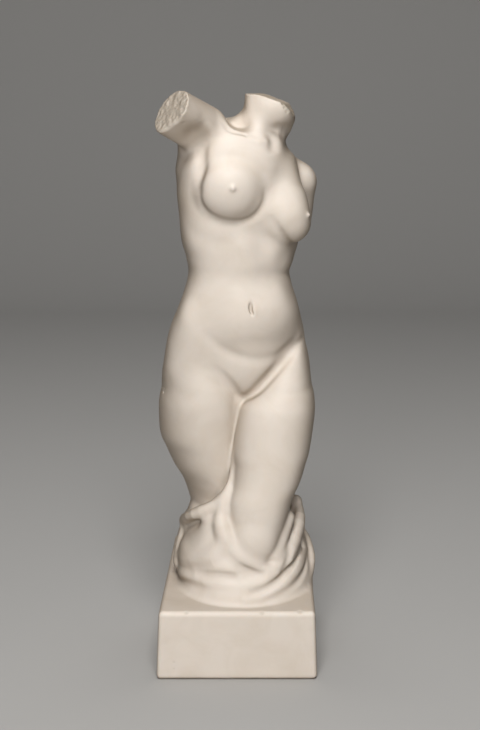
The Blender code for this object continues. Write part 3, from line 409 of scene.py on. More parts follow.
def neck(points, body):
    throat = column(points, neckStations)
    throat = fold(points, throat, neckMuscle, 0.016)
    throat = fold(points, throat, farNeckMuscle, 0.016)
    throat = melt(throat, ellipsoid(points, (0.0440, 0.0060, 0.6240), (0.0170, 0.0170, 0.0130)), 0.016)
    # the hollow under the far side of the jaw, and the break above it in three planes
    throat += swell(points, (0.0470, 0.0000, 0.5990), (0.0140, 0.0140, 0.0100), 0.0045)
    throat = broken(points, throat, (
        ((0.026, 0.016, 0.6395), (0.04, 0.02, 1.0)),
        ((0.030, 0.016, 0.6388), (0.34, -0.02, 0.94)),
        ((0.0585, 0.008, 0.6245), (0.79, -0.12, 0.60)),
    ))
    body = melt(body, throat, 0.013)
    # the flare down to the raised shoulder, and the corner over the lowered one
    body = melt(body, limb(points, (0.0085, 0.024, 0.607), (0.0205, 0.018, 0.624), 0.010, 0.008), 0.010)
    body = melt(body, limb(points, (0.0000, 0.015, 0.599), (0.0140, 0.010, 0.608), 0.014, 0.0125), 0.008)
    body += swell(points, (0.0590, 0.0160, 0.5850), (0.0080, 0.0220, 0.0085), 0.0080)
    for knots, width in ((neckPit, 0.0085), (neckUnder, 0.0090), (collarLine, 0.0030)):
        body = furrow(points, body, knots, width)
    return body


armpitEdge = (
    (-0.0370, -0.0470, 0.6150, 0.0010), (-0.0365, -0.0400, 0.6040, 0.0030),
    (-0.0365, -0.0340, 0.5940, 0.0042), (-0.0380, -0.0300, 0.5835, 0.0052),
    (-0.0370, -0.0330, 0.5730, 0.0055), (-0.0375, -0.0370, 0.5625, 0.0050),
    (-0.0390, -0.0410, 0.5525, 0.0036), (-0.0420, -0.0440, 0.5420, 0.0020),
)


def arms(points, body):
    raised = limb(points, (-0.0375, -0.008, 0.6020), (-0.092, -0.072, 0.638), 0.0275, 0.0255)
    raised = broken(points, raised, (((-0.0690, -0.0500, 0.6220), (-0.71, -0.46, 0.53)),))
    # its flat underside, which faces down and forward, and the muscle from it down the flank
    underside = (points - np.array((-0.0606, -0.0524, 0.6042))) @ np.array((0.204, -0.606, -0.769))
    body = melt(body, within(raised, underside, 0.006), 0.012)
    body = melt(body, limb(points, (-0.0500, 0.004, 0.590), (-0.0520, 0.004, 0.562), 0.0130, 0.012), 0.010)
    # the armpit, and the edge of the breast muscle in front of it
    body += swell(points, (-0.0460, -0.0440, 0.5970), (0.0100, 0.0180, 0.0120), 0.0070)
    body = furrow(points, body, armpitEdge, 0.0072)
    # the left shoulder and what is left of its arm
    body = melt(body, limb(points, (0.050, 0.034, 0.556), (0.068, 0.036, 0.542), 0.017, 0.019), 0.008)
    lowered = limb(points, (0.0690, 0.036, 0.5405), (0.0650, 0.054, 0.478), 0.0205, 0.0185)
    lowered = broken(points, lowered, (((0.066, 0.048, 0.495), (0.05, 0.30, -0.93)),))
    return melt(body, lowered, 0.008)


# Her right thigh stands straight, her left one comes forward.
rightThighStations = (
    # z, centre x, centre y, half width, half depth, yaw
    (0.100, -0.0210, 0.012, 0.0280, 0.0300, 0),
    (0.150, -0.0210, 0.012, 0.0280, 0.0350, 20),
    (0.178, -0.0235, 0.012, 0.0268, 0.0410, 34),
    (0.199, -0.0280, 0.012, 0.0294, 0.0445, 34),
    (0.218, -0.0345, 0.012, 0.0343, 0.0480, 34),
    (0.237, -0.0395, 0.011, 0.0374, 0.0515, 34),
    (0.256, -0.0424, 0.010, 0.0423, 0.0540, 34),
    (0.290, -0.0414, 0.008, 0.0458, 0.0560, 28),
    (0.311, -0.0388, 0.007, 0.0451, 0.0540, 24),
    (0.325, -0.0405, 0.006, 0.0410, 0.0500, 15),
    (0.338, -0.0430, 0.005, 0.0340, 0.0460, 10),
    (0.352, -0.0480, 0.004, 0.0250, 0.0400, 5),
)
leftThighStations = (
    (0.100, 0.0200, -0.036, 0.0180, 0.024, 0),
    (0.128, 0.0205, -0.037, 0.0240, 0.028, 0),
    (0.150, 0.0200, -0.036, 0.0325, 0.034, 0),
    (0.168, 0.0222, -0.034, 0.0350, 0.037, 0),
    (0.189, 0.0250, -0.030, 0.0382, 0.040, 0),
    (0.208, 0.0324, -0.025, 0.0395, 0.042, 0),
    (0.227, 0.0365, -0.020, 0.0415, 0.045, 0),
    (0.246, 0.0383, -0.015, 0.0449, 0.048, 0),
    (0.284, 0.0430, -0.006, 0.0455, 0.053, 0),
    (0.301, 0.0448, -0.002, 0.0425, 0.051, 0),
    (0.316, 0.0495, 0.002, 0.0330, 0.040, 0),
)
# The root of the left thigh, whose upper edge is the fold of the groin.
leftHip = (
    (0.275, 0.0450, 0.002, 0.0360, 0.046, 0),
    (0.301, 0.0460, 0.001, 0.0400, 0.051, 0),
    (0.315, 0.0500, 0.003, 0.0350, 0.048, 0),
    (0.330, 0.0545, 0.006, 0.0285, 0.043, 0),
    (0.346, 0.0605, 0.010, 0.0200, 0.036, 0),
    (0.363, 0.0655, 0.014, 0.0105, 0.026, 0),
)


def thighs(points, body):
    # crisp in front, where the groin is cut, and softer behind under the buttocks
    softness = np.interp(points[:, 1], (-0.020, 0.020), (0.004, 0.016))
    body = melt(body, column(points, rightThighStations, 2.0), softness)
    body = melt(body, column(points, leftThighStations, 2.2), 0.75 * softness)
    body = furrow(points, body, rightGroin, 0.0055)
    body = melt(body, column(points, leftHip, 2.2), 0.006)
    body = furrow(points, body, moundSide, 0.0070)
    body = furrow(points, body, leftGroin, 0.0048)
    # the flesh where the thighs press together
    body = melt(body, limb(points, (0.001, 0.018, 0.300), (-0.005, 0.010, 0.190), 0.024, 0.018), 0.003)
    body = melt(body, limb(points, (-0.0020, -0.0165, 0.300), (-0.0125, -0.012, 0.205), 0.013, 0.012), 0.006)
    knee = ellipsoid(points, (0.0195, -0.056, 0.1440), (0.0235, 0.0180, 0.0245))
    return melt(body, knee, 0.010)


# The cloth: a heap round the knees, and the folds that lie on it.
clothHeap = (
    # z, centre x, centre y, half width, half depth, yaw
    (0.070, 0.0065, 0.000, 0.0780, 0.0880, 0),
    (0.082, 0.0070, 0.000, 0.0785, 0.0865, 0),
    (0.096, 0.0085, 0.000, 0.0780, 0.0825, 0),
    (0.120, 0.007, 0.004, 0.075, 0.0730, 0),
    (0.138, 0.006, 0.010, 0.070, 0.061, 0),
    (0.160, 0.004, 0.015, 0.062, 0.047, 0),
    (0.178, 0.006, 0.020, 0.058, 0.036, 0),
)
hemRoll = (
    (-0.0085, -0.0400, 0.1990, 0.0050), (-0.0165, -0.0420, 0.1900, 0.0064),
    (-0.0270, -0.0410, 0.1815, 0.0074), (-0.0385, -0.0370, 0.1750, 0.0077),
    (-0.0500, -0.0280, 0.1675, 0.0074), (-0.0570, -0.0110, 0.1585, 0.0072),
    (-0.0575, 0.0120, 0.1505, 0.0072), (-0.0480, 0.0360, 0.1500, 0.0080),
    (-0.0180, 0.0540, 0.1570, 0.0080), (0.0200, 0.0540, 0.1640, 0.0080), (0.0500, 0.0380, 0.1680, 0.0080),
    (0.0685, 0.0200, 0.1700, 0.0060),
)
wedgeLine = (
    (-0.0020, -0.0180, 0.2640, 0.0006), (-0.0025, -0.0290, 0.2385, 0.0012),
    (-0.0050, -0.0330, 0.2220, 0.0014), (-0.0090, -0.0390, 0.2065, 0.0022),
    (-0.0130, -0.0445, 0.1935, 0.0030), (-0.0165, -0.0495, 0.1815, 0.0038),
    (-0.0190, -0.0535, 0.1700, 0.0044), (-0.0175, -0.0585, 0.1585, 0.0050),
)
kneeRim = (
    (-0.0165, -0.0590, 0.1640, 0.0030), (-0.0140, -0.0610, 0.1570, 0.0032),
    (-0.0075, -0.0655, 0.1440, 0.0036), (0.0015, -0.0690, 0.1335, 0.0036),
    (0.0125, -0.0708, 0.1258, 0.0034), (0.0250, -0.0702, 0.1195, 0.0032),
    (0.0375, -0.0655, 0.1150, 0.0030),
)
sweepLine = (
    (0.0690, 0.0200, 0.1705, 0.0052), (0.0712, 0.0120, 0.1640, 0.0062), (0.0702, -0.0040, 0.1550, 0.0090),
    (0.0660, -0.0180, 0.1460, 0.0106), (0.0602, -0.0330, 0.1350, 0.0116),
    (0.0525, -0.0480, 0.1225, 0.0106), (0.0425, -0.0590, 0.1120, 0.0094),
    (0.0295, -0.0675, 0.1040, 0.0082), (0.0140, -0.0725, 0.0990, 0.0068),
    (-0.0020, -0.0735, 0.0975, 0.0050), (-0.0190, -0.0710, 0.0990, 0.0034),
    (-0.0345, -0.0650, 0.1005, 0.0020),
)
outerFolds = (
    ((0.0745, -0.0080, 0.1200, 0.0036), (0.0730, -0.0230, 0.1060, 0.0050),
     (0.0650, -0.0420, 0.0965, 0.0056), (0.0500, -0.0600, 0.0905, 0.0054),
     (0.0305, -0.0750, 0.0870, 0.0046), (0.0105, -0.0825, 0.0840, 0.0034)),
    ((0.0720, 0.0460, 0.1290, 0.0030), (0.0785, 0.0280, 0.1280, 0.0046), (0.0825, 0.0110, 0.1190, 0.0060),
     (0.0850, -0.0060, 0.1070, 0.0060), (0.0818, -0.0200, 0.0930, 0.0052),
     (0.0745, -0.0420, 0.0850, 0.0048), (0.0600, -0.0600, 0.0815, 0.0038),
     (0.0395, -0.0740, 0.0800, 0.0030)),
)
leftRidge = (
    (-0.0130, -0.0610, 0.1495, 0.0040), (-0.0210, -0.0625, 0.1370, 0.0046),
    (-0.0320, -0.0590, 0.1250, 0.0046), (-0.0440, -0.0500, 0.1140, 0.0040),
)
leftSide = (
    (-0.0560, 0.000, 0.1500, 0.0060), (-0.0610, -0.004, 0.1300, 0.0070), (-0.0650, -0.010, 0.1080, 0.0070),
)
backFolds = (
    ((-0.0500, 0.030, 0.150, 0.004), (-0.0610, 0.042, 0.130, 0.007), (-0.0630, 0.054, 0.110, 0.009),
     (-0.0620, 0.062, 0.096, 0.009)),
    ((-0.0300, 0.046, 0.154, 0.004), (-0.0360, 0.061, 0.132, 0.008), (-0.0360, 0.075, 0.108, 0.012),
     (-0.0320, 0.082, 0.090, 0.012)),
    ((0.0020, 0.054, 0.158, 0.004), (0.0000, 0.067, 0.134, 0.007), (0.0080, 0.079, 0.110, 0.010),
     (0.0200, 0.085, 0.090, 0.011)),
    ((0.0360, 0.046, 0.162, 0.004), (0.0480, 0.059, 0.136, 0.008), (0.0560, 0.067, 0.112, 0.011),
     (0.0600, 0.072, 0.090, 0.012)),
    ((0.0640, 0.030, 0.160, 0.003), (0.0700, 0.040, 0.140, 0.006), (0.0750, 0.046, 0.116, 0.009),
     (0.0760, 0.050, 0.094, 0.009)),
)
foldGrooves = (
    # under the roll of the hem
    {"width": 0.0060, "knots": (
        (-0.0110, -0.0525, 0.1835, 0.0000), (-0.0190, -0.0490, 0.1765, 0.0008),
        (-0.0305, -0.0370, 0.1665, 0.0012), (-0.0420, -0.0345, 0.1615, 0.0022),
        (-0.0535, -0.0290, 0.1570, 0.0030), (-0.0605, -0.0200, 0.1545, 0.0010),
    )},
    # the hollow in the middle of the apron
    {"width": 0.0055, "knots": (
        (-0.0480, -0.0590, 0.1090, 0.0000), (-0.0335, -0.0710, 0.1105, 0.0040),
        (-0.0245, -0.0760, 0.1120, 0.0068), (-0.0155, -0.0780, 0.1120, 0.0062),
        (-0.0055, -0.0775, 0.1105, 0.0040), (0.0045, -0.0760, 0.1085, 0.0000),
    )},
    # under the rim below the knee
    {"width": 0.0080, "knots": (
        (-0.0010, -0.0715, 0.1240, 0.0000), (0.0070, -0.0725, 0.1180, 0.0016),
        (0.0170, -0.0740, 0.1145, 0.0020), (0.0270, -0.0745, 0.1120, 0.0018),
        (0.0340, -0.0735, 0.1110, 0.0000),
    )},
    # in the knee's shadow
    {"width": 0.0050, "knots": (
        (0.0700, 0.0130, 0.1730, 0.0010), (0.0625, -0.0040, 0.1625, 0.0030),
        (0.0565, -0.0215, 0.1525, 0.0034), (0.0490, -0.0365, 0.1420, 0.0034),
        (0.0430, -0.0475, 0.1325, 0.0022), (0.0395, -0.0585, 0.1245, 0.0000),
    )},
    # outside the sweeping fold
    {"width": 0.0042, "knots": (
        (0.0735, -0.0110, 0.1400, 0.0010), (0.0720, -0.0180, 0.1240, 0.0040),
        (0.0640, -0.0420, 0.1170, 0.0045), (0.0555, -0.0585, 0.1105, 0.0050),
        (0.0430, -0.0720, 0.1020, 0.0050), (0.0280, -0.0800, 0.0960, 0.0045),
        (0.0115, -0.0840, 0.0930, 0.0000),
    )},
    # the crease on the sweeping fold
    {"width": 0.0040, "knots": (
        (0.0615, -0.0455, 0.1380, 0.0000), (0.0595, -0.0530, 0.1285, 0.0024),
        (0.0555, -0.0600, 0.1190, 0.0024), (0.0485, -0.0665, 0.1105, 0.0000),
    )},
    # between the outer folds
    {"width": 0.0045, "knots": (
        (0.0775, -0.0120, 0.1170, 0.0010), (0.0770, -0.0285, 0.1070, 0.0030),
        (0.0720, -0.0465, 0.1000, 0.0035), (0.0610, -0.0650, 0.0935, 0.0030),
        (0.0440, -0.0790, 0.0880, 0.0024), (0.0280, -0.0850, 0.0845, 0.0000),
    )},
    # down the right side of the apron
    {"width": 0.0080, "knots": (
        (-0.0675, -0.0215, 0.1080, 0.0030), (-0.0540, -0.0510, 0.1110, 0.0045),
        (-0.0400, -0.0645, 0.1170, 0.0026), (-0.0275, -0.0705, 0.1250, 0.0000),
    )},
    # along the hem on the plinth
    {"width": 0.0060, "knots": (
        (-0.0735, -0.0010, 0.0915, 0.0020), (-0.0650, -0.0315, 0.0925, 0.0030),
        (-0.0530, -0.0550, 0.0945, 0.0030), (-0.0380, -0.0705, 0.0930, 0.0015),
        (-0.0230, -0.0795, 0.0895, 0.0000),
    )},
    # below the end of the roll
    {"width": 0.0050, "knots": (
        (-0.0645, -0.0070, 0.1470, 0.0015), (-0.0640, -0.0120, 0.1375, 0.0025),
        (-0.0680, -0.0125, 0.1270, 0.0025), (-0.0705, -0.0140, 0.1155, 0.0000),
    )},
)


def cloth(points, body):
    body = melt(body, column(points, clothHeap, 2.2), 0.003)
    # the apron of cloth in front of the right knee, which widens as it falls
    apron = limb(points, (-0.0140, -0.0385, 0.186), (-0.011, -0.0405, 0.116), 0.010, 0.037)
    body = melt(body, apron, 0.009)
    body = melt(body, limb(points, (-0.0280, -0.0410, 0.163), (-0.026, -0.0410, 0.130), 0.0100, 0.020), 0.012)
    # the stone left between the thigh and the fold that sweeps round it
    body = melt(body, limb(points, (0.0560, -0.0320, 0.166), (0.0430, -0.0550, 0.128), 0.0100, 0.0085), 0.006)
    body = melt(body, limb(points, (-0.034, -0.024, 0.154), (-0.036, -0.028, 0.110), 0.014, 0.029), 0.018)
    body -= swell(points, (-0.0565, -0.0200, 0.1320), (0.012, 0.016, 0.007), 0.0030)
    body = fold(points, body, hemRoll, 0.006)
    body = fold(points, body, wedgeLine, 0.009)
    body = fold(points, body, kneeRim, 0.012)
    for knots in (leftRidge, leftSide) + backFolds:
        body = fold(points, body, knots, 0.012)
    for knots in (sweepLine,) + outerFolds:
        body = fold(points, body, knots, 0.006)
    for groove in foldGrooves:
        body = furrow(points, body, groove["knots"], groove["width"])
    return body


# The plinth, lower in front than behind, whose sides lean in a little. Its distance is that from a box
# drawn in by the edge's radius, less that radius.
def plinth(points, body):
    halfWidth, halfDepth = plinthForm["width"] / 2, plinthForm["depth"] / 2
    x, y, z = points.T
    share = (y + halfDepth) / plinthForm["depth"]
    rise = (plinthForm["backHeight"] - plinthForm["frontHeight"]) * share
    top = plinthForm["frontHeight"] + rise
    x = x - plinthForm["skew"] * share
    wide = halfWidth * (1 - plinthForm["sideTaper"] * z) * (1 - plinthForm["backTaper"] * share)
    deep = halfDepth * (1 - plinthForm["endTaper"] * z)
    edge = plinthForm["edge"]
    inner = np.stack((np.abs(x) - wide, np.abs(y) - deep, np.maximum(z - top, -z)), axis=1) + edge
    outside = np.linalg.norm(np.maximum(inner, 0), axis=1) + np.minimum(inner.max(axis=1), 0) - edge
    return within(melt(body, outside, 0.006), -z, 0.0005)


# The whole block: how far each point lies outside the marble.
def figure(points):
    points = points.astype(np.float32)
    body = trunk(points)
    body = breasts(points, body)
    body = shoulders(points, body)
    body = neck(points, body)
    body = arms(points, body)
    body = thighs(points, body)
    body = cloth(points, body)
    return plinth(points, body)


def inBatches(field, points, size=400_000):
    return np.concatenate([field(points[i:i + size]) for i in range(0, len(points), size)])


# The field on a grid, worked out exactly only in a band of a few coarse steps near the surface.
def sampled(field, low, high, step, coarseSteps, band=2.2):
    wide = step * coarseSteps
    counts = np.ceil((np.asarray(high) - low) / wide).astype(int)
    ticks = [low[a] + wide * np.arange(counts[a] + 1) for a in range(3)]
    coarsePoints = np.stack(np.meshgrid(*ticks, indexing="ij"), axis=-1).reshape(-1, 3)
    coarse = inBatches(field, coarsePoints).reshape(counts + 1)
    fineShape = counts * coarseSteps + 1
    index = [
        np.minimum(np.arange(n) / coarseSteps, c).round().astype(int)
        for n, c in zip(fineShape, counts)
    ]
    values = coarse[np.ix_(*index)].astype(np.float32)
    close = np.abs(values) < band * wide
    i, j, k = np.nonzero(close)
    points = np.stack((low[0] + i * step, low[1] + j * step, low[2] + k * step), axis=1)
    values[i, j, k] = inBatches(field, points)
    return values


# The four corners of every grid square in one plane, in order round it.
def square(inside, along, across):
    near, far = slice(0, -1), slice(1, None)
    corners = []
    for a, b in ((near, near), (far, near), (far, far), (near, far)):
        place = [slice(None)] * 3
        place[along], place[across] = a, b
        corners.append(inside[tuple(place)])
    return corners


# The grid with every square and cell filled whose inside corners meet only across a diagonal, so that
# the surface never touches itself.
def untangled(values, step):
    justInside = -0.1 * step
    values = values.copy()
    tangled = True
    while tangled:
        inside = values < 0
        fill = np.zeros_like(inside)
        for along, across in ((0, 1), (0, 2), (1, 2)):
            a, b, c, d = square(inside, along, across)
            crossed = (a & c & ~b & ~d) | (~a & ~c & b & d)
            for corner in square(fill, along, across):
                corner |= crossed
        corners = [(a, b, c) for a in (0, 1) for b in (0, 1) for c in (0, 1)]
        views = [tuple(slice(o, n - 1 + o) for o, n in zip(corner, inside.shape)) for corner in corners]
        count = sum(inside[view].astype(np.int8) for view in views)
        for first, last in zip(views[:4], views[:3:-1]):
            both = inside[first] & inside[last] & (count == 2)
            neither = ~inside[first] & ~inside[last] & (count == 6)
            for view in views:
                fill[view] |= both | neither
        fill &= ~inside
        values[fill] = justInside
        tangled = fill.any()
    return values


# Points and quads of the grid's zero surface: one point in each cell that it crosses, and one quad
# round each grid edge that it cuts.
def surfaceOf(values, low, step):
    inside = values < 0
    cells = tuple(n - 1 for n in values.shape)
    corners = [(a, b, c) for a in (0, 1) for b in (0, 1) for c in (0, 1)]

    def at(grid, corner):
        return grid[tuple(slice(o, o + n) for o, n in zip(corner, cells))]

    count = sum(at(inside, c).astype(np.int8) for c in corners)
    crossed = (count > 0) & (count < 8)
    number = np.full(cells, -1, np.int64)
    number[crossed] = np.arange(crossed.sum())
    total = np.zeros((crossed.sum(), 3))
    cuts = np.zeros(crossed.sum())
    for axis in range(3):
        for corner in corners:
            if corner[axis]:
                continue
            far = tuple(1 if i == axis else o for i, o in enumerate(corner))
            a, b = at(values, corner)[crossed], at(values, far)[crossed]
            cut = (a < 0) != (b < 0)
            share = np.where(cut, a / np.where(cut, a - b, 1), 0)
            place = np.tile(np.asarray(corner, float), (len(a), 1))
            place[:, axis] = share
            total += place * cut[:, None]
            cuts += cut
    cell = np.stack(np.nonzero(crossed), axis=1)
    verts = np.asarray(low) + step * (cell + total / cuts[:, None])
    quads = []
    for axis in range(3):
        side, up = (axis + 1) % 3, (axis + 2) % 3
        first = [slice(1, -1)] * 3
        first[axis] = slice(0, -1)
        second = list(first)
        second[axis] = slice(1, None)
        a, b = inside[tuple(first)], inside[tuple(second)]
        for leaving in (True, False):
            hits = np.stack(np.nonzero(a & ~b if leaving else ~a & b), axis=1)
            hits += [0 if i == axis else 1 for i in range(3)]
            ring = []
            for ds, du in ((-1, -1), (0, -1), (0, 0), (-1, 0)):
                cell = hits.copy()
                cell[:, side] += ds
                cell[:, up] += du
                ring.append(number[tuple(cell.T)])
            ring = np.stack(ring, axis=1)
            quads.append(ring if leaving else ring[:, ::-1])
    return verts, np.concatenate(quads)


# The field's slope at each point, by central differences.
def slopeAt(field, verts, probe=0.0005):
    return np.stack([
        inBatches(field, verts + probe * axis) - inBatches(field, verts - probe * axis)
        for axis in np.eye(3)
    ], axis=1) / (2 * probe)


# Points moved along the field's slope until they lie on its zero surface.
def settled(field, verts, passes=3):
    for _ in range(passes):
        slope = slopeAt(field, verts)
        steep = np.maximum(np.sum(slope * slope, axis=1), 0.2)
        move = slope * (inBatches(field, verts) / steep)[:, None]
        verts = verts - np.clip(move, -0.001, 0.001)
    return verts


# Cloud noise: every corner of a lattice holds a hashed number from -1 to 1, and each point takes
# the eight round it, blended by how near it is.
def cloudNoise(points, size, seed):
    place = points / size
    cell = np.floor(place).astype(np.int64)
    t = place - cell
    t = t * t * (3 - 2 * t)
    total = np.zeros(len(points))
    for corner in np.ndindex(2, 2, 2):
        i, j, k = (cell + corner).T
        mixed = (i * 73856093) ^ (j * 19349663) ^ (k * 83492791) ^ (seed * 2654435761)
        mixed = ((mixed ^ (mixed >> 13)) * 1274126177) & 0xFFFFFFFF
        share = ((mixed ^ (mixed >> 16)) & 0xFFFF) / 32768 - 1
        total += share * np.prod(np.where(corner, t, 1 - t), axis=1)
    return total


# Where the stone is broken: a place on the break, the way it faces, its radius, how rough it is.
breaks = (
    {"place": (-0.0690, -0.0500, 0.6220), "facing": (-0.71, -0.46, 0.53), "radius": 0.034, "rough": 0.00055},
    {"place": (0.0330, 0.0160, 0.6390), "facing": (0.20, 0.0, 0.98), "radius": 0.036, "rough": 0.00045},
    {"place": (0.0585, 0.0080, 0.6245), "facing": (0.79, -0.12, 0.60), "radius": 0.020, "rough": 0.00045},
    {"place": (0.0660, 0.0480, 0.4950), "facing": (0.05, 0.30, -0.93), "radius": 0.028, "rough": 0.00055},
)

# Small chips: a place on the skin, the chip's radius and its depth.
chips = (
    ((-0.0840, -0.0060, 0.3065), 0.0018, 0.0012), ((-0.0828, -0.0065, 0.3105), 0.0014, 0.0008),
    ((-0.0700, -0.1040, 0.0210), 0.0012, 0.0005), ((-0.0700, -0.1045, 0.0130), 0.0010, 0.0004),
    ((0.0320, -0.0030, 0.6375), 0.0030, 0.0008), ((0.0385, 0.0005, 0.6355), 0.0028, 0.0010),
    ((0.0450, -0.0050, 0.6330), 0.0030, 0.0008), ((0.0505, -0.0095, 0.6300), 0.0022, 0.0014),
    ((0.0525, -0.0100, 0.6260), 0.0020, 0.0012), ((0.0550, -0.0085, 0.6220), 0.0022, 0.0010),
    ((0.0600, 0.0120, 0.6235), 0.0034, 0.0009), ((0.0615, 0.0055, 0.6180), 0.0026, 0.0006),
    ((-0.0535, -0.0570, 0.6365), 0.0026, 0.0006), ((-0.0560, -0.0625, 0.6105), 0.0030, 0.0008),
    ((-0.0685, -0.0645, 0.6045), 0.0024, 0.0007), ((-0.0850, -0.0285, 0.6190), 0.0028, 0.0008),
    ((0.0700, -0.0990, 0.0780), 0.0030, 0.0007), ((-0.0560, -0.1000, 0.0770), 0.0024, 0.0005),
    ((0.0280, -0.1000, 0.0770), 0.0028, 0.0004), ((0.0840, 0.0300, 0.0950), 0.0030, 0.0008),
    ((-0.0780, 0.0700, 0.1000), 0.0034, 0.0009), ((0.0860, -0.1000, 0.0040), 0.0034, 0.0008),
)

skin = {"wave": 0.014, "waveDepth": 0.00010, "breakDepth": 0.003, "grain": 0.0058, "fineGrain": 0.0028}


# How far each point's skin is raised, and how broken it is from 0 to 1: a faint wave left by the
# carver all over, two sizes of rough grain on the breaks, which fades with the square of the
# distance from the break's plane, and chips, which are round dents with a soft edge.
def roughness(points):
    rise = skin["waveDepth"] * cloudNoise(points, skin["wave"], 1)
    broken = np.zeros(len(points))
    for spot in breaks:
        facing = np.asarray(spot["facing"]) / np.linalg.norm(spot["facing"])
        offset = points - spot["place"]
        across = offset @ facing
        out = np.linalg.norm(offset - across[:, None] * facing, axis=1)
        near = np.flatnonzero((np.abs(across) < 0.010) & (out < spot["radius"]))
        share = np.exp(-(across[near] / skin["breakDepth"]) ** 2)
        grain = cloudNoise(points[near], skin["grain"], 5)
        grain += 0.8 * cloudNoise(points[near], skin["fineGrain"], 7)
        rise[near] += spot["rough"] * share * (grain - 0.3)
        broken[near] = np.maximum(broken[near], share)
    for place, radius, depth in chips:
        away = np.linalg.norm(points - place, axis=1) / radius
        share = np.exp(-(away ** 4))
        rise -= depth * share
        broken = np.maximum(broken, 0.6 * share)
    return rise, broken


# How hidden each point is, 0 on open stone to 1 deep in a fold: a step out along the normal should
# gain its own length of distance from the stone, and what it doesn't gain is taken by near walls.
def hiddenness(field, verts, normals):
    hidden = np.zeros(len(verts))
    for reach, weight in ((0.004, 0.5), (0.010, 0.5)):
        gained = inBatches(field, verts + reach * normals) / reach
        hidden += weight * np.clip(1 - gained, 0, 1)
    return hidden


def carveTorso():
    low, high, step = np.array(torso["gridLow"]), np.array(torso["gridHigh"]), torso["gridStep"]
    values = untangled(sampled(figure, low, high, step, torso["coarseSteps"]), step)
    verts, quads = surfaceOf(values, low, step)
    verts = settled(figure, verts)
    slope = slopeAt(figure, verts)
    normals = slope / np.maximum(np.linalg.norm(slope, axis=1), 1e-9)[:, None]
    # how hidden each point is, which sets where the folds are painted in shade
    hidden = hiddenness(figure, verts, normals)
    rise, broken = roughness(verts)
    verts = verts + rise[:, None] * normals
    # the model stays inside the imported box
    verts = np.clip(verts, cadBox[0], cadBox[1])
    mesh = bpy.data.meshes.new("torso_carving")
    mesh.from_pydata(verts.tolist(), [], quads.tolist())
    for name, values in (("hidden", hidden), ("broken", broken)):
        mesh.attributes.new(name, "FLOAT", "POINT").data.foreach_set("value", values.astype(np.float32))
    mesh.shade_smooth()
    carving = bpy.data.objects.new("torso_carving", mesh)
    bpy.context.scene.collection.objects.link(carving)
    thin = carving.modifiers.new("triangleBudget", "DECIMATE")
    thin.ratio = min(1.0, torso["triangles"] / (2 * len(quads)))
    thin.use_collapse_triangulate = True
    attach(carving, "root")
    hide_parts(torso["node"])
    print("carved torso:", len(verts), "points,", 2 * len(quads), "triangles before thinning")
    return carving


def colour(hexCode):
    channels = np.array([int(hexCode[i:i + 2], 16) for i in (0, 2, 4)]) / 255
    linear = np.where(channels <= 0.04045, channels / 12.92, ((channels + 0.055) / 1.055) ** 2.4)
    return (*linear.tolist(), 1.0)


# One node with its settings, and the sockets that feed it.
def addNode(tree, kind, settings=None, values=None, links=None):
    node = tree.nodes.new(kind)
    for key, value in (settings or {}).items():
        setattr(node, key, value)
    for key, value in (values or {}).items():
        node.inputs[key].default_value = value
    for key, source in (links or {}).items():
        tree.links.new(source, node.inputs[key])
    return node


marbleLook = {
    "stone": "ece1d5",
    "warmStone": "e5d9cb",
    # the fold colour is painted shade laid into the folds
    "fold": "aea393",
    "break": "d6cbbd",
    # the slant colour is painted shade where the stone turns away from the camera
    "rimShade": "a2988a",
    "foldShadeShare": 0.40,
    "rimShadeShare": 0.70,
    "cloudSize": 0.045,
    "breakGrain": 0.0011,
    "breakRelief": 0.0005,
    "polish": 0.50,
    "breakPolish": 0.80,
    "shine": 0.35,
    "glow": 0.15,
    "glowDepth": 0.004,
}
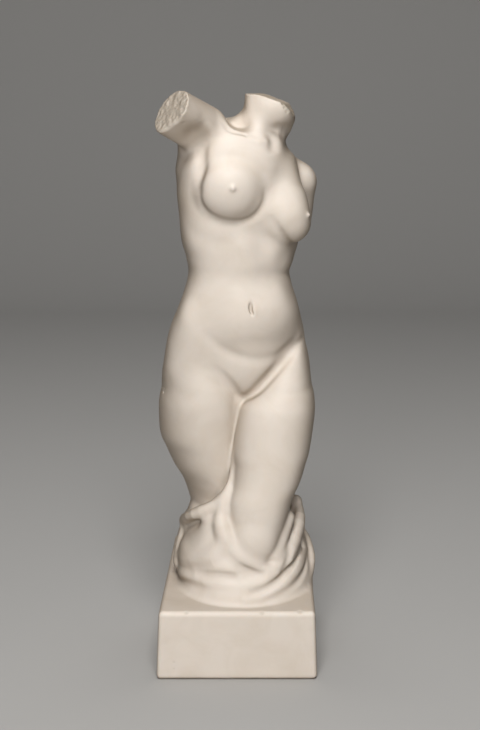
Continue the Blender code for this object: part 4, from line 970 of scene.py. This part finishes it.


# White marble, carved and rubbed smooth by hand: light sinks a few millimetres in, so edges glow
# softly, painted shade darkens the stone where it turns away from the camera, faint warm clouds run
# through it, painted shade darkens the folds, and the breaks are dull and grainy.
def statuaryMarble():
    material = bpy.data.materials.new("statuary marble, hand rubbed")
    material.use_nodes = True
    tree = material.node_tree
    shader = tree.nodes["Principled BSDF"]
    place = addNode(tree, "ShaderNodeTexCoord").outputs["Object"]
    clouds = addNode(
        tree, "ShaderNodeTexNoise",
        values={"Scale": 1 / marbleLook["cloudSize"], "Detail": 4.0, "Roughness": 0.55, "Distortion": 0.6},
        links={"Vector": place},
    )
    cloudShare = addNode(
        tree, "ShaderNodeMapRange",
        values={"From Min": 0.42, "From Max": 0.72},
        links={"Value": clouds.outputs["Fac"]},
    )
    stone = addNode(
        tree, "ShaderNodeMix", {"data_type": "RGBA"},
        {"A": colour(marbleLook["stone"]), "B": colour(marbleLook["warmStone"])},
        {"Factor": cloudShare.outputs["Result"]},
    )
    # Painted shade: the stone is darkened towards the fold colour where it lies hidden in folds.
    hidden = addNode(tree, "ShaderNodeAttribute", {"attribute_name": "hidden"}).outputs["Fac"]
    foldShadeShare = addNode(
        tree, "ShaderNodeMapRange",
        values={"From Min": 0.25, "From Max": 0.95, "To Max": marbleLook["foldShadeShare"]},
        links={"Value": hidden},
    )
    foldShaded = addNode(
        tree, "ShaderNodeMix", {"data_type": "RGBA"},
        {"B": colour(marbleLook["fold"])},
        {"Factor": foldShadeShare.outputs["Result"], "A": stone.outputs["Result"]},
    )
    broken = addNode(tree, "ShaderNodeAttribute", {"attribute_name": "broken"}).outputs["Fac"]
    bare = addNode(
        tree, "ShaderNodeMix", {"data_type": "RGBA"},
        {"B": colour(marbleLook["break"])},
        {"Factor": broken, "A": foldShaded.outputs["Result"]},
    )
    # Painted shade: the stone is darkened where it turns away from the camera.
    rimShade = addNode(tree, "ShaderNodeLayerWeight", values={"Blend": 0.5})
    rimShadeShare = addNode(
        tree, "ShaderNodeMapRange", {"interpolation_type": "SMOOTHSTEP"},
        {"From Min": 0.10, "From Max": 0.90, "To Max": marbleLook["rimShadeShare"]},
        {"Value": rimShade.outputs["Facing"]},
    )
    rimShaded = addNode(
        tree, "ShaderNodeMix", {"data_type": "RGBA", "blend_type": "MULTIPLY"},
        {"B": colour(marbleLook["rimShade"])},
        {"Factor": rimShadeShare.outputs["Result"], "A": bare.outputs["Result"]},
    )
    tree.links.new(rimShaded.outputs["Result"], shader.inputs["Base Color"])
    dullness = addNode(
        tree, "ShaderNodeMapRange",
        values={"To Min": marbleLook["polish"], "To Max": marbleLook["breakPolish"]},
        links={"Value": broken},
    )
    tree.links.new(dullness.outputs["Result"], shader.inputs["Roughness"])
    crumbs = addNode(
        tree, "ShaderNodeTexNoise",
        values={"Scale": 1 / marbleLook["breakGrain"], "Detail": 3.0},
        links={"Vector": place},
    )
    relief = addNode(
        tree, "ShaderNodeBump",
        values={"Distance": marbleLook["breakRelief"]},
        links={"Strength": broken, "Height": crumbs.outputs["Fac"]},
    )
    tree.links.new(relief.outputs["Normal"], shader.inputs["Normal"])
    shader.inputs["IOR"].default_value = 1.49
    shader.inputs["Specular IOR Level"].default_value = marbleLook["shine"]
    shader.inputs["Subsurface Weight"].default_value = marbleLook["glow"]
    shader.inputs["Subsurface Radius"].default_value = (1.0, 0.75, 0.55)
    shader.inputs["Subsurface Scale"].default_value = marbleLook["glowDepth"]
    return material


studio = {
    "floor": "b9b7b4",
    "front": -3.0,
    "depth": 2.2,
    "wallBend": 1.0,
    "wallHeight": 4.0,
    "halfWidth": 5.0,
    "air": "c8ccd2",
    "airStrength": 0.03,
    "litMiddle": (0, 0, 0.35),
}

# Soft square lights, all turned to the middle of the figure: name, place, width, power in watts.
lights = (
    ("key_light", (0, -2.9, 3.9), 1.8, 113),
    ("side_light", (-0.5, -2.2, 0.9), 0.6, 8),
    ("front_light", (0, -2.2, 1.3), 1.0, 5),
    ("top_light", (0, 0.2, 2.4), 1.0, 12),
)


# A floor that bends up into a wall behind: straight, then a quarter circle, then straight up.
def studioFloor():
    t = np.linspace(0, 1, 33)
    bend = studio["wallBend"]
    back = studio["depth"] + bend
    y = np.concatenate([[studio["front"]], studio["depth"] + bend * np.sin(t * np.pi / 2), [back]])
    z = np.concatenate([[0.0], bend * (1 - np.cos(t * np.pi / 2)), [studio["wallHeight"]]])
    x = np.array((-studio["halfWidth"], studio["halfWidth"]))
    verts = np.stack([np.repeat(x, len(y)), np.tile(y, 2), np.tile(z, 2)], axis=1)
    n = len(y)
    faces = [(i, n + i, n + i + 1, i + 1) for i in range(n - 1)]
    mesh = bpy.data.meshes.new("studio_floor")
    mesh.from_pydata(verts.tolist(), [], faces)
    mesh.shade_smooth()
    floor = bpy.data.objects.new("studio_floor", mesh)
    bpy.context.scene.collection.objects.link(floor)
    paint = bpy.data.materials.new("matt studio paper")
    paint.use_nodes = True
    shader = paint.node_tree.nodes["Principled BSDF"]
    shader.inputs["Base Color"].default_value = colour(studio["floor"])
    shader.inputs["Roughness"].default_value = 0.9
    mesh.materials.append(paint)


def lightStudio():
    for name, place, width, power in lights:
        lamp = bpy.data.lights.new(name, "AREA")
        lamp.size = width
        lamp.energy = power
        holder = bpy.data.objects.new(name, lamp)
        holder.location = place
        aim = Vector(studio["litMiddle"]) - Vector(place)
        holder.rotation_euler = aim.to_track_quat("-Z", "Y").to_euler()
        bpy.context.scene.collection.objects.link(holder)
    air = bpy.data.worlds.new("studio_air")
    air.use_nodes = True
    air.node_tree.nodes["Background"].inputs["Color"].default_value = colour(studio["air"])
    air.node_tree.nodes["Background"].inputs["Strength"].default_value = studio["airStrength"]
    bpy.context.scene.world = air
    bpy.context.scene.view_settings.view_transform = "Standard"
    bpy.context.scene.view_settings.look = "Medium High Contrast"


# The camera looks 12 degrees down, from 1.8 m in front.
view = {"place": (0.00362, -1.80054, 0.71933), "down": 12, "lens": 80, "sensor": 36}


def placeCamera():
    lens = bpy.data.cameras.new("camera")
    lens.lens = view["lens"]
    lens.sensor_width = view["sensor"]
    camera = bpy.data.objects.new("camera", lens)
    camera.location = view["place"]
    camera.rotation_euler = (radians(90 - view["down"]), 0, 0)
    bpy.context.scene.collection.objects.link(camera)
    bpy.context.scene.camera = camera


placeCamera()
carving = carveTorso()
carving.data.materials.append(statuaryMarble())
print("marble laid on")
studioFloor()
lightStudio()
print("studio set")
